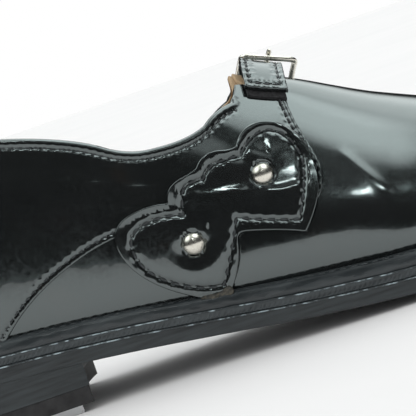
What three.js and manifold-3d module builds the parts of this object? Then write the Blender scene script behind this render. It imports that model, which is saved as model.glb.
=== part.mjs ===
// Tap shoe with a strap over the instep, scalloped side patches and a double sole.
// Millimetres. The toe points along +X, up is +Z, the floor is z = 0.
// The origin is the middle of the heel tap's floor face.
import * as THREE from 'three';
import { mergeVertices } from 'three/addons/utils/BufferGeometryUtils.js';
import Module from 'manifold-3d';

const wasm = await Module();
wasm.setup();

// The foot shape every layer is measured from
const FOOT_LENGTH = 240;
const HEEL_TAP_CENTRE = 27;
const HEEL_ROUND = 34;
const TOE_ROUND_START = 176;
const TOE_DROP_START = 200;
const EDGE_TUCK = 0.08;
const EDGE_TUCK_HEIGHT = 6;
const HEEL_LEAN = 9;
const HEEL_LEAN_HEIGHT = 62;
const HEEL_UNDERCUT = 2;

// Layers of the upper, as distances out from the foot shape
const LINING = [0.2, 1.3];
const STIFFENER = [1.5, 2.2];
const OUTER = [2.4, 3.9];
const PATCH = [4.1, 5.5];
const STRAP = [5.8, 7.5];

// Layers of the sole, as depths below the foot's edge (a minus sign is above it)
const SOCK = [-0.3, 0.9];
const INSOLE = [1.4, 3.0];
const WELT = [-1.8, 3.5];
const MIDSOLE = [3.6, 6.4];
const OUTSOLE = [6.5, 11.0];
const HEEL_TOP = 11.15;
const TOE_TAP = [11.15, 13.5];
const LIFT = [2.5, 7.4];
const HEEL_TAP_THICK = 2.35;
const HEEL_BREAST = 57;
const WELT_INNER = 5.1;

// Small parts
const RIVET_RADIUS = 3.2;
const RIVET_HOLE = 1.4;
const SCREW_HEAD = 2.3;
const STRAP_MIDDLE = 131.3;
const STRAP_HALF = 6.2;
const STRAP_ROOT = -17;
const STRAP_TIP = 32;
const BUCKLE_MIDDLE = 13.5;
const BUCKLE_LENGTH = 15;
const BUCKLE_WIDTH = 16.6;
const BUCKLE_ROD = 0.9;
const BAR_HEIGHT = 9.75;
const BUCKLE_ARCH = 0.9;
const OUTER_DIP = 5;

// How finely the foot shape is divided
const ALONG = 36;
const AROUND = 20;

// A smooth curve through knots that never overshoots a flat stretch
function curve(knots) {
  const last = knots.length - 1;
  const step = [];
  for (let i = 0; i < last; i++) {
    step.push((knots[i + 1][1] - knots[i][1]) / (knots[i + 1][0] - knots[i][0]));
  }
  const slope = knots.map((knot, i) => {
    if (i === 0) return step[0];
    if (i === last) return step[last - 1];
    if (step[i - 1] * step[i] <= 0) return 0;
    const before = knots[i][0] - knots[i - 1][0];
    const after = knots[i + 1][0] - knots[i][0];
    return (step[i - 1] * after + step[i] * before) / (before + after);
  });
  return (x) => {
    let i = 0;
    while (i < last - 1 && x > knots[i + 1][0]) i++;
    const span = knots[i + 1][0] - knots[i][0];
    const t = Math.min(Math.max((x - knots[i][0]) / span, 0), 1);
    const start = knots[i][1] * (1 + 2 * t) * (1 - t) ** 2 + slope[i] * span * t * (1 - t) ** 2;
    const end = knots[i + 1][1] * t * t * (3 - 2 * t) + slope[i + 1] * span * t * t * (t - 1);
    return start + end;
  };
}

// Foot shape: height of the edge, line of the middle, half widths, height and wall fullness
const edgeHeight = curve([[0, 28.8], [30, 27.3], [55, 25.2], [74, 22.95], [96, 19.8], [130, 15.7],
  [165, 13.5], [205, 13.5], [225, 15.4], [240, 19.0]]);
const middle = curve([[0, 0], [60, 0.5], [110, 2], [165, 2], [205, -2], [240, -8]]);
const outerHalf = curve([[0, 27.5], [40, 28.5], [90, 31], [130, 37], [165, 41], [200, 39.5], [240, 35]]);
const innerHalf = curve([[0, 27.5], [40, 28], [90, 28], [130, 33.5], [165, 38.5], [200, 38], [240, 35]]);
const bodyHeight = curve([[0, 92], [60, 92], [92, 82], [127, 59.9], [141, 54.5], [165, 43], [190, 33],
  [215, 27.5], [240, 25]]);
const fullness = curve([[0, 0], [60, 0], [96, 0.2], [127, 0.6], [150, 0.5], [180, 0.15], [205, -0.15],
  [240, -0.3]]);
const soleMargin = curve([[-10, 7], [40, 7], [100, 7.6], [150, 9], [250, 9]]);

// Rounds the plan off at the heel and the toe
function endWidth(x) {
  const heel = x < HEEL_ROUND ? Math.sqrt(Math.max(1 - (1 - x / HEEL_ROUND) ** 2, 0)) : 1;
  const toe = Math.min(Math.max((x - TOE_ROUND_START) / (FOOT_LENGTH - TOE_ROUND_START), 0), 1);
  return heel * Math.sqrt(Math.max(1 - toe ** 2.3, 0));
}

// Brings the top down to the sole at the toe
function endHeight(x) {
  const toe = Math.min(Math.max((x - TOE_DROP_START) / (FOOT_LENGTH - TOE_DROP_START), 0), 1);
  return Math.max(1 - toe ** 3, 0) ** (1 / 2.2);
}

const alongToX = (u) => (FOOT_LENGTH * (1 - Math.cos(Math.PI * u))) / 2;
const xToAlong = (x) => Math.acos(1 - (2 * x) / FOOT_LENGTH) / Math.PI;

// A point of the foot shape; angle 0 is the edge on the -Y side, PI/2 the ridge, PI the +Y edge
function footPoint(u, angle) {
  const x = alongToX(u);
  const side = angle < Math.PI / 2 ? -1 : 1;
  const half = (side < 0 ? innerHalf(x) : outerHalf(x)) * endWidth(x);
  const across = Math.abs(Math.cos(angle));
  const rise = bodyHeight(x) * endHeight(x) * Math.sin(angle);
  const full = fullness(x);
  const wall = (across * (1 + full * across * across)) / (1 + full);
  const tuck = 1 - EDGE_TUCK * Math.exp(-rise / EDGE_TUCK_HEIGHT);
  const nearHeel = Math.max(1 - x / HEEL_LEAN_HEIGHT, 0) ** 2;
  const lean = HEEL_LEAN * (rise / HEEL_LEAN_HEIGHT) ** 2 + HEEL_UNDERCUT * Math.exp(-rise / 9);
  return new THREE.Vector3(x + nearHeel * lean, middle(x) + side * half * wall * tuck,
    edgeHeight(x) + rise);
}

function footNormal(u, angle) {
  const atHeel = u < 1e-6;
  if (u > 1 - 1e-6) return new THREE.Vector3(1, 0, 0);
  const bend = atHeel && angle > Math.PI / 2 ? Math.PI - angle : angle;
  const from = Math.min(Math.max(u, 2e-3), 1 - 2e-3);
  const e = 1e-4;
  const along = footPoint(from + e, bend).sub(footPoint(from - e, bend));
  const around = footPoint(from, bend + e).sub(footPoint(from, bend - e));
  const normal = along.cross(around);
  if (atHeel) normal.y = 0;
  return normal.normalize();
}

// The point a distance out from the foot shape
function skin(u, angle, out) {
  return footPoint(u, angle).addScaledVector(footNormal(u, angle), out);
}

// Turns points and triangles into a solid, leaving out triangles that have closed up
function solidOf(points, faces) {
  const geometry = new THREE.BufferGeometry();
  geometry.setAttribute('position', new THREE.Float32BufferAttribute(points.flat(), 3));
  geometry.setIndex(faces.flat());
  return solidFrom(geometry);
}

function solidFrom(geometry) {
  geometry.deleteAttribute('normal');
  geometry.deleteAttribute('uv');
  const merged = mergeVertices(geometry, 1e-4);
  const index = merged.index.array;
  const kept = [];
  for (let i = 0; i < index.length; i += 3) {
    const [a, b, c] = [index[i], index[i + 1], index[i + 2]];
    if (a !== b && b !== c && a !== c) kept.push(a, b, c);
  }
  return new wasm.Manifold(new wasm.Mesh({
    numProp: 3,
    vertProperties: Float32Array.from(merged.attributes.position.array),
    triVerts: Uint32Array.from(kept),
  }));
}

function geometryFrom(solid) {
  const mesh = solid.getMesh();
  const geometry = new THREE.BufferGeometry();
  geometry.setAttribute('position', new THREE.Float32BufferAttribute(mesh.vertProperties, 3));
  geometry.setIndex(Array.from(mesh.triVerts));
  return geometry;
}

// Joins a grid of front points and a grid of back points into one closed skin
function sheet(front, back) {
  const rows = front.length;
  const columns = front[0].length;
  const points = [...front.flat(), ...back.flat()];
  const size = rows * columns;
  const at = (i, j) => i * columns + j;
  const faces = [];
  const quad = (a, b, c, d) => faces.push([a, b, c], [a, c, d]);
  for (let i = 0; i < rows - 1; i++) {
    for (let j = 0; j < columns - 1; j++) {
      quad(at(i, j), at(i + 1, j), at(i + 1, j + 1), at(i, j + 1));
      quad(size + at(i, j), size + at(i, j + 1), size + at(i + 1, j + 1), size + at(i + 1, j));
    }
  }
  for (let i = 0; i < rows - 1; i++) {
    quad(at(i, 0), size + at(i, 0), size + at(i + 1, 0), at(i + 1, 0));
    quad(at(i, columns - 1), at(i + 1, columns - 1), size + at(i + 1, columns - 1),
      size + at(i, columns - 1));
  }
  return { points, faces, at, size, rows, columns, quad };
}

// The whole foot shape as a hollow skin between two distances
function shell([inside, outside]) {
  const grid = (out) => {
    const rows = [];
    for (let i = 0; i <= ALONG; i++) {
      const row = [];
      for (let j = 0; j <= AROUND; j++) {
        row.push(skin(i / ALONG, (Math.PI * j) / AROUND, out).toArray());
      }
      rows.push(row);
    }
    return rows;
  };
  const made = sheet(grid(outside), grid(inside));
  return solidOf(made.points, made.faces);
}

// Leaves out repeated points and points in the middle of a straight run
function corners(outline) {
  const apart = outline.filter((point, i) => {
    const next = outline[(i + 1) % outline.length];
    return Math.hypot(next[0] - point[0], next[1] - point[1]) > 1e-3;
  });
  return apart.filter((point, i) => {
    const before = apart[(i + apart.length - 1) % apart.length];
    const next = apart[(i + 1) % apart.length];
    const turn = (point[0] - before[0]) * (next[1] - point[1]) - (point[1] - before[1]) * (next[0] - point[0]);
    return Math.abs(turn) > 1e-3;
  });
}

// A side-view outline pulled through the shoe from one y to another
function sideCut(outline, fromY, toY) {
  const shape = new THREE.Shape(corners(outline).map(([x, z]) => new THREE.Vector2(x, z)));
  const geometry = new THREE.ExtrudeGeometry(shape, { depth: toY - fromY, bevelEnabled: false });
  geometry.rotateX(Math.PI / 2);
  geometry.translate(0, toY, 0);
  return solidFrom(geometry);
}

// A plan outline pulled upwards from one z to another
function planCut(outline, fromZ, toZ) {
  const shape = new THREE.Shape(corners(outline).map(([x, y]) => new THREE.Vector2(x, y)));
  const geometry = new THREE.ExtrudeGeometry(shape, { depth: toZ - fromZ, bevelEnabled: false });
  geometry.translate(0, 0, fromZ);
  return solidFrom(geometry);
}

// Points along a run of lobes: each lobe is [control x, control z, end x, end z]
function lobes(start, bends, steps) {
  const points = [start];
  let from = new THREE.Vector2(...start);
  for (const [cx, cz, x, z] of bends) {
    const to = new THREE.Vector2(x, z);
    const arc = new THREE.QuadraticBezierCurve(from, new THREE.Vector2(cx, cz), to);
    for (let i = 1; i <= steps; i++) points.push(arc.getPoint(i / steps).toArray());
    from = to;
  }
  return points;
}

// The edge of the foot in plan, moved out by a margin that may change along the shoe
function planEdge(side, margin, from = 0, to = 1, steps = ALONG) {
  const angle = side < 0 ? 0 : Math.PI;
  const points = [];
  for (let i = 0; i <= steps; i++) {
    const u = from + ((to - from) * i) / steps;
    const here = footPoint(u, angle);
    const low = Math.max(u - 1e-3, 0);
    const high = Math.min(u + 1e-3, 1);
    const run = footPoint(high, angle).sub(footPoint(low, angle));
    let out = new THREE.Vector2(-side * run.y, side * run.x).normalize();
    if (u < 1e-6) out = new THREE.Vector2(-1, 0);
    if (u > 1 - 1e-6) out = new THREE.Vector2(1, 0);
    const distance = typeof margin === 'function' ? margin(here.x) : margin;
    points.push([here.x + out.x * distance, here.y + out.y * distance]);
  }
  return points;
}

// A solid layer of the sole that follows the foot's edge line
function soleLayer(margin, [top, bottom]) {
  const left = planEdge(-1, margin);
  const right = planEdge(1, margin);
  const level = (depth) => left.map((point, i) => [
    [point[0], point[1], edgeHeight(point[0]) - depth],
    [right[i][0], right[i][1], edgeHeight(right[i][0]) - depth],
  ]);
  const made = sheet(level(top), level(bottom));
  return solidOf(made.points, made.faces);
}

// A block under the heel with a flat bottom
function heelLayer(margin, topAt, bottomAt) {
  const end = xToAlong(HEEL_BREAST + 12);
  const left = planEdge(-1, margin, 0, end, 18);
  const right = planEdge(1, margin, 0, end, 18);
  const level = (height) => left.map((point, i) => [
    [point[0], point[1], height(point[0])],
    [right[i][0], right[i][1], height(right[i][0])],
  ]);
  const made = sheet(level(topAt), level(bottomAt));
  const { quad, at, size, rows } = made;
  quad(at(rows - 1, 0), size + at(rows - 1, 0), size + at(rows - 1, 1), at(rows - 1, 1));
  const block = solidOf(made.points, made.faces);
  return block.intersect(planCut(heelPlan(HEEL_BREAST), -5, 60));
}

// The heel's plan area, ending in a shallow hollow across the breast
function heelPlan(front) {
  const hollow = lobes([front, 60], [[front - 7, 0, front, -60]], 10);
  return [[-20, 60], [-20, -60], ...hollow.reverse()];
}

// The ring of welt round the foot of the upper
function weltRing() {
  const outer = soleLayer(soleMargin, WELT);
  return outer.subtract(soleLayer(WELT_INNER, [WELT[0] - 5, WELT[1] + 5]));
}

// Screws through the taps: x, y, and the floor-side height and slope there
function tapFloor(x) {
  return edgeHeight(x) - TOE_TAP[1];
}

function lathe(profile, sides) {
  return new THREE.LatheGeometry(profile.map(([r, h]) => new THREE.Vector2(r, h)), sides);
}

function aimed(geometry, at, direction) {
  const turn = new THREE.Quaternion().setFromUnitVectors(new THREE.Vector3(0, 1, 0), direction);
  geometry.applyQuaternion(turn);
  geometry.translate(at.x, at.y, at.z);
  return geometry;
}

function screwFrame(x, y, heel) {
  const height = heel ? 0 : tapFloor(x);
  const slope = heel ? 0 : (tapFloor(x + 0.5) - tapFloor(x - 0.5));
  const up = new THREE.Vector3(-slope, 0, 1).normalize();
  return { at: new THREE.Vector3(x, y, height), up };
}

function screw(frame) {
  const profile = [[0, 0.25], [SCREW_HEAD, 0.25], [SCREW_HEAD, 0.45], [1.1, 1.6], [1.1, 5.4], [0, 6.4]];
  return solidFrom(aimed(lathe(profile, 10), frame.at, frame.up));
}

function screwHole(frame) {
  const profile = [[0, -1], [SCREW_HEAD + 0.2, -1], [SCREW_HEAD + 0.2, 0.55], [1.3, 1.75], [1.3, 6.8],
    [0, 6.8]];
  return solidFrom(aimed(lathe(profile, 10), frame.at, frame.up));
}

// Rivets of the side patches: along the shoe and round from the edge
const RIVETS = { upper: [123.2, 30.2], lower: [97.7, 12.3] };

function rivetFrame(which, side) {
  const [x, degrees] = RIVETS[which];
  const angle = side < 0 ? (degrees * Math.PI) / 180 : Math.PI - (degrees * Math.PI) / 180;
  const u = xToAlong(x);
  return { at: skin(u, angle, 0), up: footNormal(u, angle) };
}

function rivetCap(frame) {
  const base = PATCH[1] + 0.2;
  const dome = [[0, base + 2.1], [1.6, base + 1.8], [2.7, base + 1.1], [RIVET_RADIUS, base + 0.3],
    [RIVET_RADIUS, base], [1.1, base], [1.1, 1.7], [0, 1.7]];
  return solidFrom(aimed(lathe(dome.reverse(), 14), frame.at, frame.up));
}

function rivetWasher(frame) {
  const ring = [[1.35, 1.55], [2.7, 1.55], [2.7, 2.1], [1.35, 2.1], [1.35, 1.55]];
  return solidFrom(aimed(lathe(ring, 12), frame.at, frame.up));
}

function rivetHole(frame) {
  const hole = [[0, 0], [RIVET_HOLE, 0], [RIVET_HOLE, 8], [0, 8]];
  return solidFrom(aimed(lathe(hole, 12), frame.at, frame.up));
}

// Distance round the instep from the ridge, turned into an angle
const instepTable = (() => {
  const table = [];
  const u = xToAlong(STRAP_MIDDLE);
  const ridge = Math.PI / 2;
  for (const way of [-1, 1]) {
    let travelled = 0;
    let before = skin(u, ridge, 6);
    for (let i = 1; i <= 90; i++) {
      const angle = ridge + way * i * 0.01;
      const now = skin(u, angle, 6);
      travelled += now.distanceTo(before);
      before = now;
      table.push([way * travelled, angle]);
    }
  }
  table.push([0, ridge]);
  return table.sort((a, b) => a[0] - b[0]);
})();

function instepAngle(distance) {
  let i = 0;
  while (i < instepTable.length - 2 && distance > instepTable[i + 1][0]) i++;
  const [low, lowAngle] = instepTable[i];
  const [high, highAngle] = instepTable[i + 1];
  return lowAngle + ((distance - low) / (high - low)) * (highAngle - lowAngle);
}

// A point on the strap: across it, round the instep, and out from the foot
function strapPoint(across, round, out) {
  return skin(xToAlong(STRAP_MIDDLE + across), instepAngle(round), out);
}

// A flat band wrapped round the instep
function band(from, to, steps, halfAt, [inside, outside]) {
  const level = (out) => {
    const rows = [];
    for (let i = 0; i <= steps; i++) {
      const round = from + ((to - from) * i) / steps;
      const half = halfAt(round);
      rows.push([1, 0.33, -0.33, -1].map((s) => strapPoint(s * half, round, out).toArray()));
    }
    return rows;
  };
  const made = sheet(level(outside), level(inside));
  const { quad, at, size, rows, columns } = made;
  for (let j = 0; j < columns - 1; j++) {
    quad(at(0, j), at(0, j + 1), size + at(0, j + 1), size + at(0, j));
    quad(at(rows - 1, j), size + at(rows - 1, j), size + at(rows - 1, j + 1), at(rows - 1, j + 1));
  }
  return solidOf(made.points, made.faces);
}

function strapHalf(round) {
  const tip = Math.min(Math.max((round - (STRAP_TIP - 5)) / 5, 0), 1);
  return STRAP_HALF * Math.sqrt(1 - 0.8 * tip * tip);
}

const BAR_ROUND = BUCKLE_MIDDLE + BUCKLE_LENGTH / 2;
const FAR_ROUND = BUCKLE_MIDDLE - BUCKLE_LENGTH / 2;

// The buckle's own axes: along its bar, towards its far side, and out from the foot
const buckleAxes = (() => {
  const at = strapPoint(0, BAR_ROUND, BAR_HEIGHT);
  const along = strapPoint(6, BAR_ROUND, BAR_HEIGHT).sub(strapPoint(-6, BAR_ROUND, BAR_HEIGHT)).normalize();
  const span = strapPoint(0, FAR_ROUND, BAR_HEIGHT).sub(at);
  const out = span.clone().cross(along).normalize();
  const across = along.clone().cross(out).normalize();
  return { at, along, across, out, reach: span.dot(across) };
})();

// A point of the buckle, whose sides arch over the strap between the bar and the far side
function bucklePoint(along, across, out) {
  const way = Math.min(Math.max(across / buckleAxes.reach, 0), 1);
  const arch = 4 * BUCKLE_ARCH * way * (1 - way);
  return buckleAxes.at.clone()
    .addScaledVector(buckleAxes.along, along)
    .addScaledVector(buckleAxes.across, across)
    .addScaledVector(buckleAxes.out, out + arch);
}

// A round rod along a line of buckle points
function rod(path, radius, closed, sides = 8) {
  const line = new THREE.CatmullRomCurve3(path.map((point) => bucklePoint(...point)), closed, 'centripetal');
  const shape = new THREE.Shape();
  for (let i = 0; i < sides; i++) {
    const turn = (2 * Math.PI * i) / sides;
    const point = [radius * Math.cos(turn), radius * Math.sin(turn)];
    if (i === 0) shape.moveTo(...point);
    else shape.lineTo(...point);
  }
  shape.closePath();
  return solidFrom(new THREE.ExtrudeGeometry(shape, {
    steps: path.length * 2, extrudePath: line, bevelEnabled: false }));
}

// The buckle's rim, a round rod bent into a rounded rectangle
function buckleRim() {
  const half = BUCKLE_WIDTH / 2;
  const corner = 2.2;
  const far = buckleAxes.reach;
  const path = [];
  const turns = [[half - corner, far - corner, 0], [-half + corner, far - corner, 1],
    [-half + corner, corner, 2], [half - corner, corner, 3]];
  for (const [cx, cy, quarter] of turns) {
    for (const step of [0, 0.34, 0.66, 1]) {
      const angle = ((quarter + step) * Math.PI) / 2;
      path.push(bucklePoint(cx + corner * Math.cos(angle), cy + corner * Math.sin(angle), 0));
    }
    if (quarter % 2 === 1) {
      const side = quarter === 1 ? -half : half;
      for (const share of [0.75, 0.5, 0.25]) {
        path.push(bucklePoint(side, far * (quarter === 1 ? share : 1 - share), 0));
      }
    }
  }
  return ring(path, buckleAxes.out, BUCKLE_ROD, 8);
}

// A round rod along a closed line of points, square to the line at each
function ring(path, up, radius, sides) {
  const points = [];
  const faces = [];
  const count = path.length;
  path.forEach((here, i) => {
    const run = path[(i + 1) % count].clone().sub(path[(i + count - 1) % count]).normalize();
    const side = run.clone().cross(up).normalize();
    const top = side.clone().cross(run);
    for (let k = 0; k < sides; k++) {
      const turn = (2 * Math.PI * k) / sides;
      const point = here.clone().addScaledVector(side, radius * Math.cos(turn))
        .addScaledVector(top, radius * Math.sin(turn));
      points.push(point.toArray());
    }
  });
  for (let i = 0; i < count; i++) {
    for (let k = 0; k < sides; k++) {
      const a = i * sides + k;
      const b = i * sides + ((k + 1) % sides);
      const c = ((i + 1) % count) * sides + ((k + 1) % sides);
      const d = ((i + 1) % count) * sides + k;
      faces.push([a, b, c], [a, c, d]);
    }
  }
  const solid = solidOf(points, faces);
  return solid.volume() > 0 ? solid : solidOf(points, faces.map(([a, b, c]) => [a, c, b]));
}

function collar(from, to, inner, outer) {
  const ring = [[inner, from], [outer, from], [outer, to], [inner, to], [inner, from]];
  return solidFrom(aimed(lathe(ring, 16), buckleAxes.at, buckleAxes.along));
}

function prong() {
  const far = buckleAxes.reach;
  const run = rod([[0, 0.2, 1.55], [0, far / 2, 1.7 ], [0, far + 1.8, 1.95]], 0.75, false);
  return run.add(collar(-0.95, 0.95, BUCKLE_ROD + 0.25, BUCKLE_ROD + 1.15));
}

function chape() {
  const tail = band(BAR_ROUND + 0.9, STRAP_TIP - 1.5, 6, () => 4.9, [STRAP[1] + 0.12, STRAP[1] + 1.0]);
  const loops = collar(-5.2, -1.5, BUCKLE_ROD + 0.15, BUCKLE_ROD + 1.0)
    .add(collar(1.5, 5.2, BUCKLE_ROD + 0.15, BUCKLE_ROD + 1.0));
  const slot = solidFrom(aimed(lathe([[0, -1.4], [2.4, -1.4], [2.4, 1.4], [0, 1.4]], 16), buckleAxes.at,
    buckleAxes.along));
  return tail.subtract(slot).add(loops);
}

// Outlines in side view
const topline = lobes([-20, 91], [[-5, 91, 10, 90.5], [32, 90, 50, 85.5], [70, 80, 80.6, 73.2],
  [88, 67.5, 96, 67.2], [106, 66.2, 112, 68.7], [116, 72, 121.6, 72.3]], 4);
// The outer side dips lower round the ankle, and everything above the dip is cut away
const outerDip = (x) => OUTER_DIP * Math.max(1 - ((x - 66) / 56) ** 4, 0);
const aboveDip = () => {
  const edge = topline.filter(([x]) => x > 9).map(([x, z]) => [x, z - outerDip(x)]);
  return sideCut([...edge, [121.6, 120], [edge[0][0], 120]], 3, 90);
};
const tabRear = lobes([121.6, 72.3], [[123.6, 74, 124.6, 78], [124.9, 84, 124.9, 98]], 3);
const tabFront = lobes([138.4, 98], [[137.6, 74, 138, 60.2], [140.6, 50, 140.6, 45.5],
  [139, 40, 136.4, 37.6]], 4);
const wingLine = lobes([136.4, 37.6], [[120, 33.5, 104, 40], [92, 46.6, 77, 45.8],
  [70, 45.4, 62, 42.6], [44, 37, 33, 20]], 4);
const patchEdge = lobes([76.6, 45], [[77.6, 48.4, 84, 49.3], [90, 49.8, 94.4, 50.9],
  [94, 54.6, 97.4, 56], [100.4, 57.4, 105, 57.2], [108, 60.6, 113, 60.2], [116, 60, 118.3, 58.8],
  [121, 63.4, 127.6, 63.2], [134.6, 62.8, 138.4, 56.8], [141.6, 46.6, 137.8, 39.4],
  [135.4, 34.4, 130.6, 31.7], [124, 31.7, 114.4, 35], [110.6, 36.4, 110, 33.6],
  [108.4, 25, 103.6, 19], [93, 18.6, 84.4, 26.6], [76.8, 34.6, 76.6, 45]], 4);

function quarterOutline() {
  const edge = [...topline, ...tabRear.slice(1), ...tabFront, ...wingLine.slice(1), [-20, 20]];
  return edge;
}

// Everything in front of and below the quarters
function vampOutline() {
  const throat = [[141.2, 98], ...lobes([141.2, 98], [[138.2, 76, 138.75, 60.3]], 3).slice(1)];
  const front = lobes([138.75, 60.3], [[141, 50, 141, 45.4], [139.4, 39.8, 136.6, 37.2]], 4).slice(1);
  const under = lobes([136.6, 37.2], [[120, 33.1, 104, 39.6], [92, 46.2, 77, 45.4],
    [70, 45, 62, 42.2], [44, 36.6, 33.6, 20]], 4).slice(1);
  return [...throat, ...front, ...under, [33.6, 0], [270, 0], [270, 98]];
}

const parts = [];

function addSolid(name, solid, look) {
  if (solid.isEmpty()) throw new Error(`${name} came out empty`);
  const [first, ...rest] = solid.decompose().sort((a, b) => b.volume() - a.volume());
  if (rest.some((piece) => piece.volume() > 1)) throw new Error(`${name} came out in pieces`);
  parts.push({ name, geometry: geometryFrom(first), look });
}

const leather = { color: 0x17181a, roughness: 0.18, metalness: 0 };
const lining = { color: 0xb79a74, roughness: 0.75, metalness: 0 };
const board = { color: 0x7a6244, roughness: 0.9, metalness: 0 };
const soleBlack = { color: 0x1c1c1c, roughness: 0.55, metalness: 0 };
const rubber = { color: 0x202022, roughness: 0.75, metalness: 0 };
const bright = { color: 0xd8d6cc, roughness: 0.18, metalness: 1 };
const tapMetal = { color: 0xbfc1c4, roughness: 0.35, metalness: 1 };
const steel = { color: 0x8d9196, roughness: 0.4, metalness: 1 };
const textile = { color: 0x161617, roughness: 0.95, metalness: 0 };

// Upper
const outerShell = shell(OUTER);
const liningShell = shell(LINING);
const stiffShell = shell(STIFFENER);
const patchShell = shell(PATCH).subtract(soleLayer(20, [WELT[0] - 0.25, 20]));
const toplineLow = (points) => [...points, [-20, 0]];

const rivetHoles = { inner: [], outer: [] };
for (const which of ['upper', 'lower']) {
  rivetHoles.inner.push(rivetHole(rivetFrame(which, -1)));
  rivetHoles.outer.push(rivetHole(rivetFrame(which, 1)));
}

function pierced(solid, holes) {
  return holes.reduce((kept, hole) => kept.subtract(hole), solid);
}

const belowTab = planCut([[-30, -90], [200, -90], [200, 90], [-30, 90]], -10, 98)
  .subtract(sideCut([[110, 81.5], [150, 68.5], [150, 120], [110, 120]], -13, 17));

const quarterCut = (from, to) => sideCut(quarterOutline(), from, to);
addSolid('quarter_inner', pierced(outerShell.intersect(quarterCut(-90, -0.15)).intersect(belowTab),
  rivetHoles.inner), leather);
addSolid('quarter_outer', pierced(outerShell.intersect(quarterCut(0.15, 90)).intersect(belowTab)
  .subtract(aboveDip()), rivetHoles.outer), leather);
addSolid('vamp', pierced(outerShell.intersect(sideCut(vampOutline(), -90, 90)),
  [...rivetHoles.inner, ...rivetHoles.outer]), leather);

for (const [side, word, low, high] of [[-1, 'inner', -90, -6], [1, 'outer', 6, 90]]) {
  addSolid(`side_patch_${word}`, pierced(patchShell.intersect(sideCut(patchEdge, low, high)),
    rivetHoles[word]), leather);
  for (const which of ['upper', 'lower']) {
    const frame = rivetFrame(which, side);
    addSolid(`rivet_cap_${which}_${word}`, rivetCap(frame), bright);
    addSolid(`rivet_washer_${which}_${word}`, rivetWasher(frame), steel);
  }
}

// A strip over the seam at the back of the heel
addSolid('back_strip', patchShell.intersect(sideCut([[-20, 24], [3.2, 24], [3.2, 70], [1.6, 87.5],
  [-20, 87.5]], -8, 8)), leather);

// Lining, split into a front and a rear piece, open where the foot goes in
const throatBack = [[123.4, 74.5], [123.8, 98]];
const liningRear = [...topline.filter(([x]) => x < 99), [99.8, 66.9], [99.8, 0], [-20, 0]];
const liningFront = [[100.1, 0], [100.1, 67], ...topline.filter(([x]) => x > 101), ...throatBack,
  [260, 98], [260, 0]];
addSolid('lining_rear', liningShell.intersect(sideCut(liningRear, -90, 90)).subtract(aboveDip()), lining);
addSolid('lining_front', liningShell.intersect(sideCut(liningFront, -90, 90)).subtract(aboveDip()), lining);
addSolid('heel_counter', stiffShell.intersect(sideCut(lobes([-20, 62], [[20, 62, 44, 54],
  [60, 46, 70, 15], [20, 15, -20, 15]], 4), -90, 90)), board);
addSolid('toe_puff', stiffShell.intersect(planCut([[196, -90], [260, -90], [260, 90], [196, 90]],
  -10, 90)), board);
addSolid('tongue', stiffShell.intersect(planCut(lobes([125.4, -12], [[124.4, 2, 125.4, 16],
  [136, 24, 158, 20], [162, 2, 158, -16], [136, -21, 125.4, -12]], 4), 40, 99)), lining);

// Sole
addSolid('sock_liner', soleLayer(-0.9, SOCK), lining);
addSolid('insole', soleLayer(1.4, INSOLE), board);
addSolid('welt', weltRing(), soleBlack);

const shankPlan = lobes([30, -6], [[80, -7, 132, -5], [136, 1, 132, 7], [80, 8, 30, 7],
  [26, 0, 30, -6]], 5);
const grown = (outline, by) => {
  const cx = 81;
  return outline.map(([x, y]) => [x + Math.sign(x - cx) * by, y + Math.sign(y) * by]);
};
const shankSlot = soleLayer(1, [3.0, 4.7]).intersect(planCut(grown(shankPlan, 0.35), -10, 60));
addSolid('shank', soleLayer(0, [3.65, 4.5]).intersect(planCut(shankPlan, -10, 60)), steel);
addSolid('midsole', soleLayer((x) => soleMargin(x) - 0.2, MIDSOLE).subtract(shankSlot), soleBlack);

const toeScrews = [[187, -24], [187, 24], [226, -16], [226, 9]];
const heelScrews = [[8, 0], [42, -15], [42, 15]];
const toeFrames = toeScrews.map(([x, y]) => screwFrame(x, y, false));
const heelFrames = heelScrews.map(([x, y]) => screwFrame(x, y, true));
addSolid('outsole', pierced(soleLayer((x) => soleMargin(x) - 0.1, OUTSOLE),
  toeFrames.map(screwHole)), soleBlack);

const heelMargin = (x) => soleMargin(x) - 0.5;
addSolid('heel_block', heelLayer(heelMargin, (x) => edgeHeight(x) - HEEL_TOP, () => LIFT[1] + 0.15),
  soleBlack);
addSolid('heel_lift', pierced(heelLayer((x) => heelMargin(x) - 0.2, () => LIFT[1], () => LIFT[0]),
  heelFrames.map(screwHole)), rubber);

// Taps
const toeTapPlan = [...lobes([178, -70], [[194, 0, 178, 70]], 10), [270, 70], [270, -70]];
addSolid('toe_tap', pierced(soleLayer((x) => soleMargin(x) - 1.4, TOE_TAP)
  .intersect(planCut(toeTapPlan, -10, 60)), toeFrames.map(screwHole)), tapMetal);
const heelTapPlan = planCut(heelPlan(HEEL_BREAST - 3.4), -10, 60);
addSolid('heel_tap', pierced(heelLayer((x) => heelMargin(x) - 1.4, () => HEEL_TAP_THICK, () => 0)
  .intersect(heelTapPlan), heelFrames.map(screwHole)), tapMetal);
toeFrames.forEach((frame, i) => addSolid(`toe_tap_screw_${i + 1}`, screw(frame), steel));
heelFrames.forEach((frame, i) => addSolid(`heel_tap_screw_${i + 1}`, screw(frame), steel));

// Strap and buckle
addSolid('strap_elastic', band(STRAP_ROOT - 2, -8, 5, () => STRAP_HALF - 0.6,
  [OUTER[1] + 0.35, STRAP[0] - 0.2]), textile);
addSolid('strap', band(STRAP_ROOT, STRAP_TIP, 20, strapHalf, STRAP), leather);
addSolid('strap_hook_patch', band(11, 25, 6, () => 4.8, [STRAP[0] - 0.75, STRAP[0] - 0.12]), textile);
addSolid('quarter_loop_patch', band(11, 25, 6, () => 4.8, [OUTER[1] + 0.3, OUTER[1] + 0.95]), textile);
addSolid('strap_chape', chape(), leather);
addSolid('buckle_frame', buckleRim(), bright);
addSolid('buckle_prong', prong(), bright);

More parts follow.
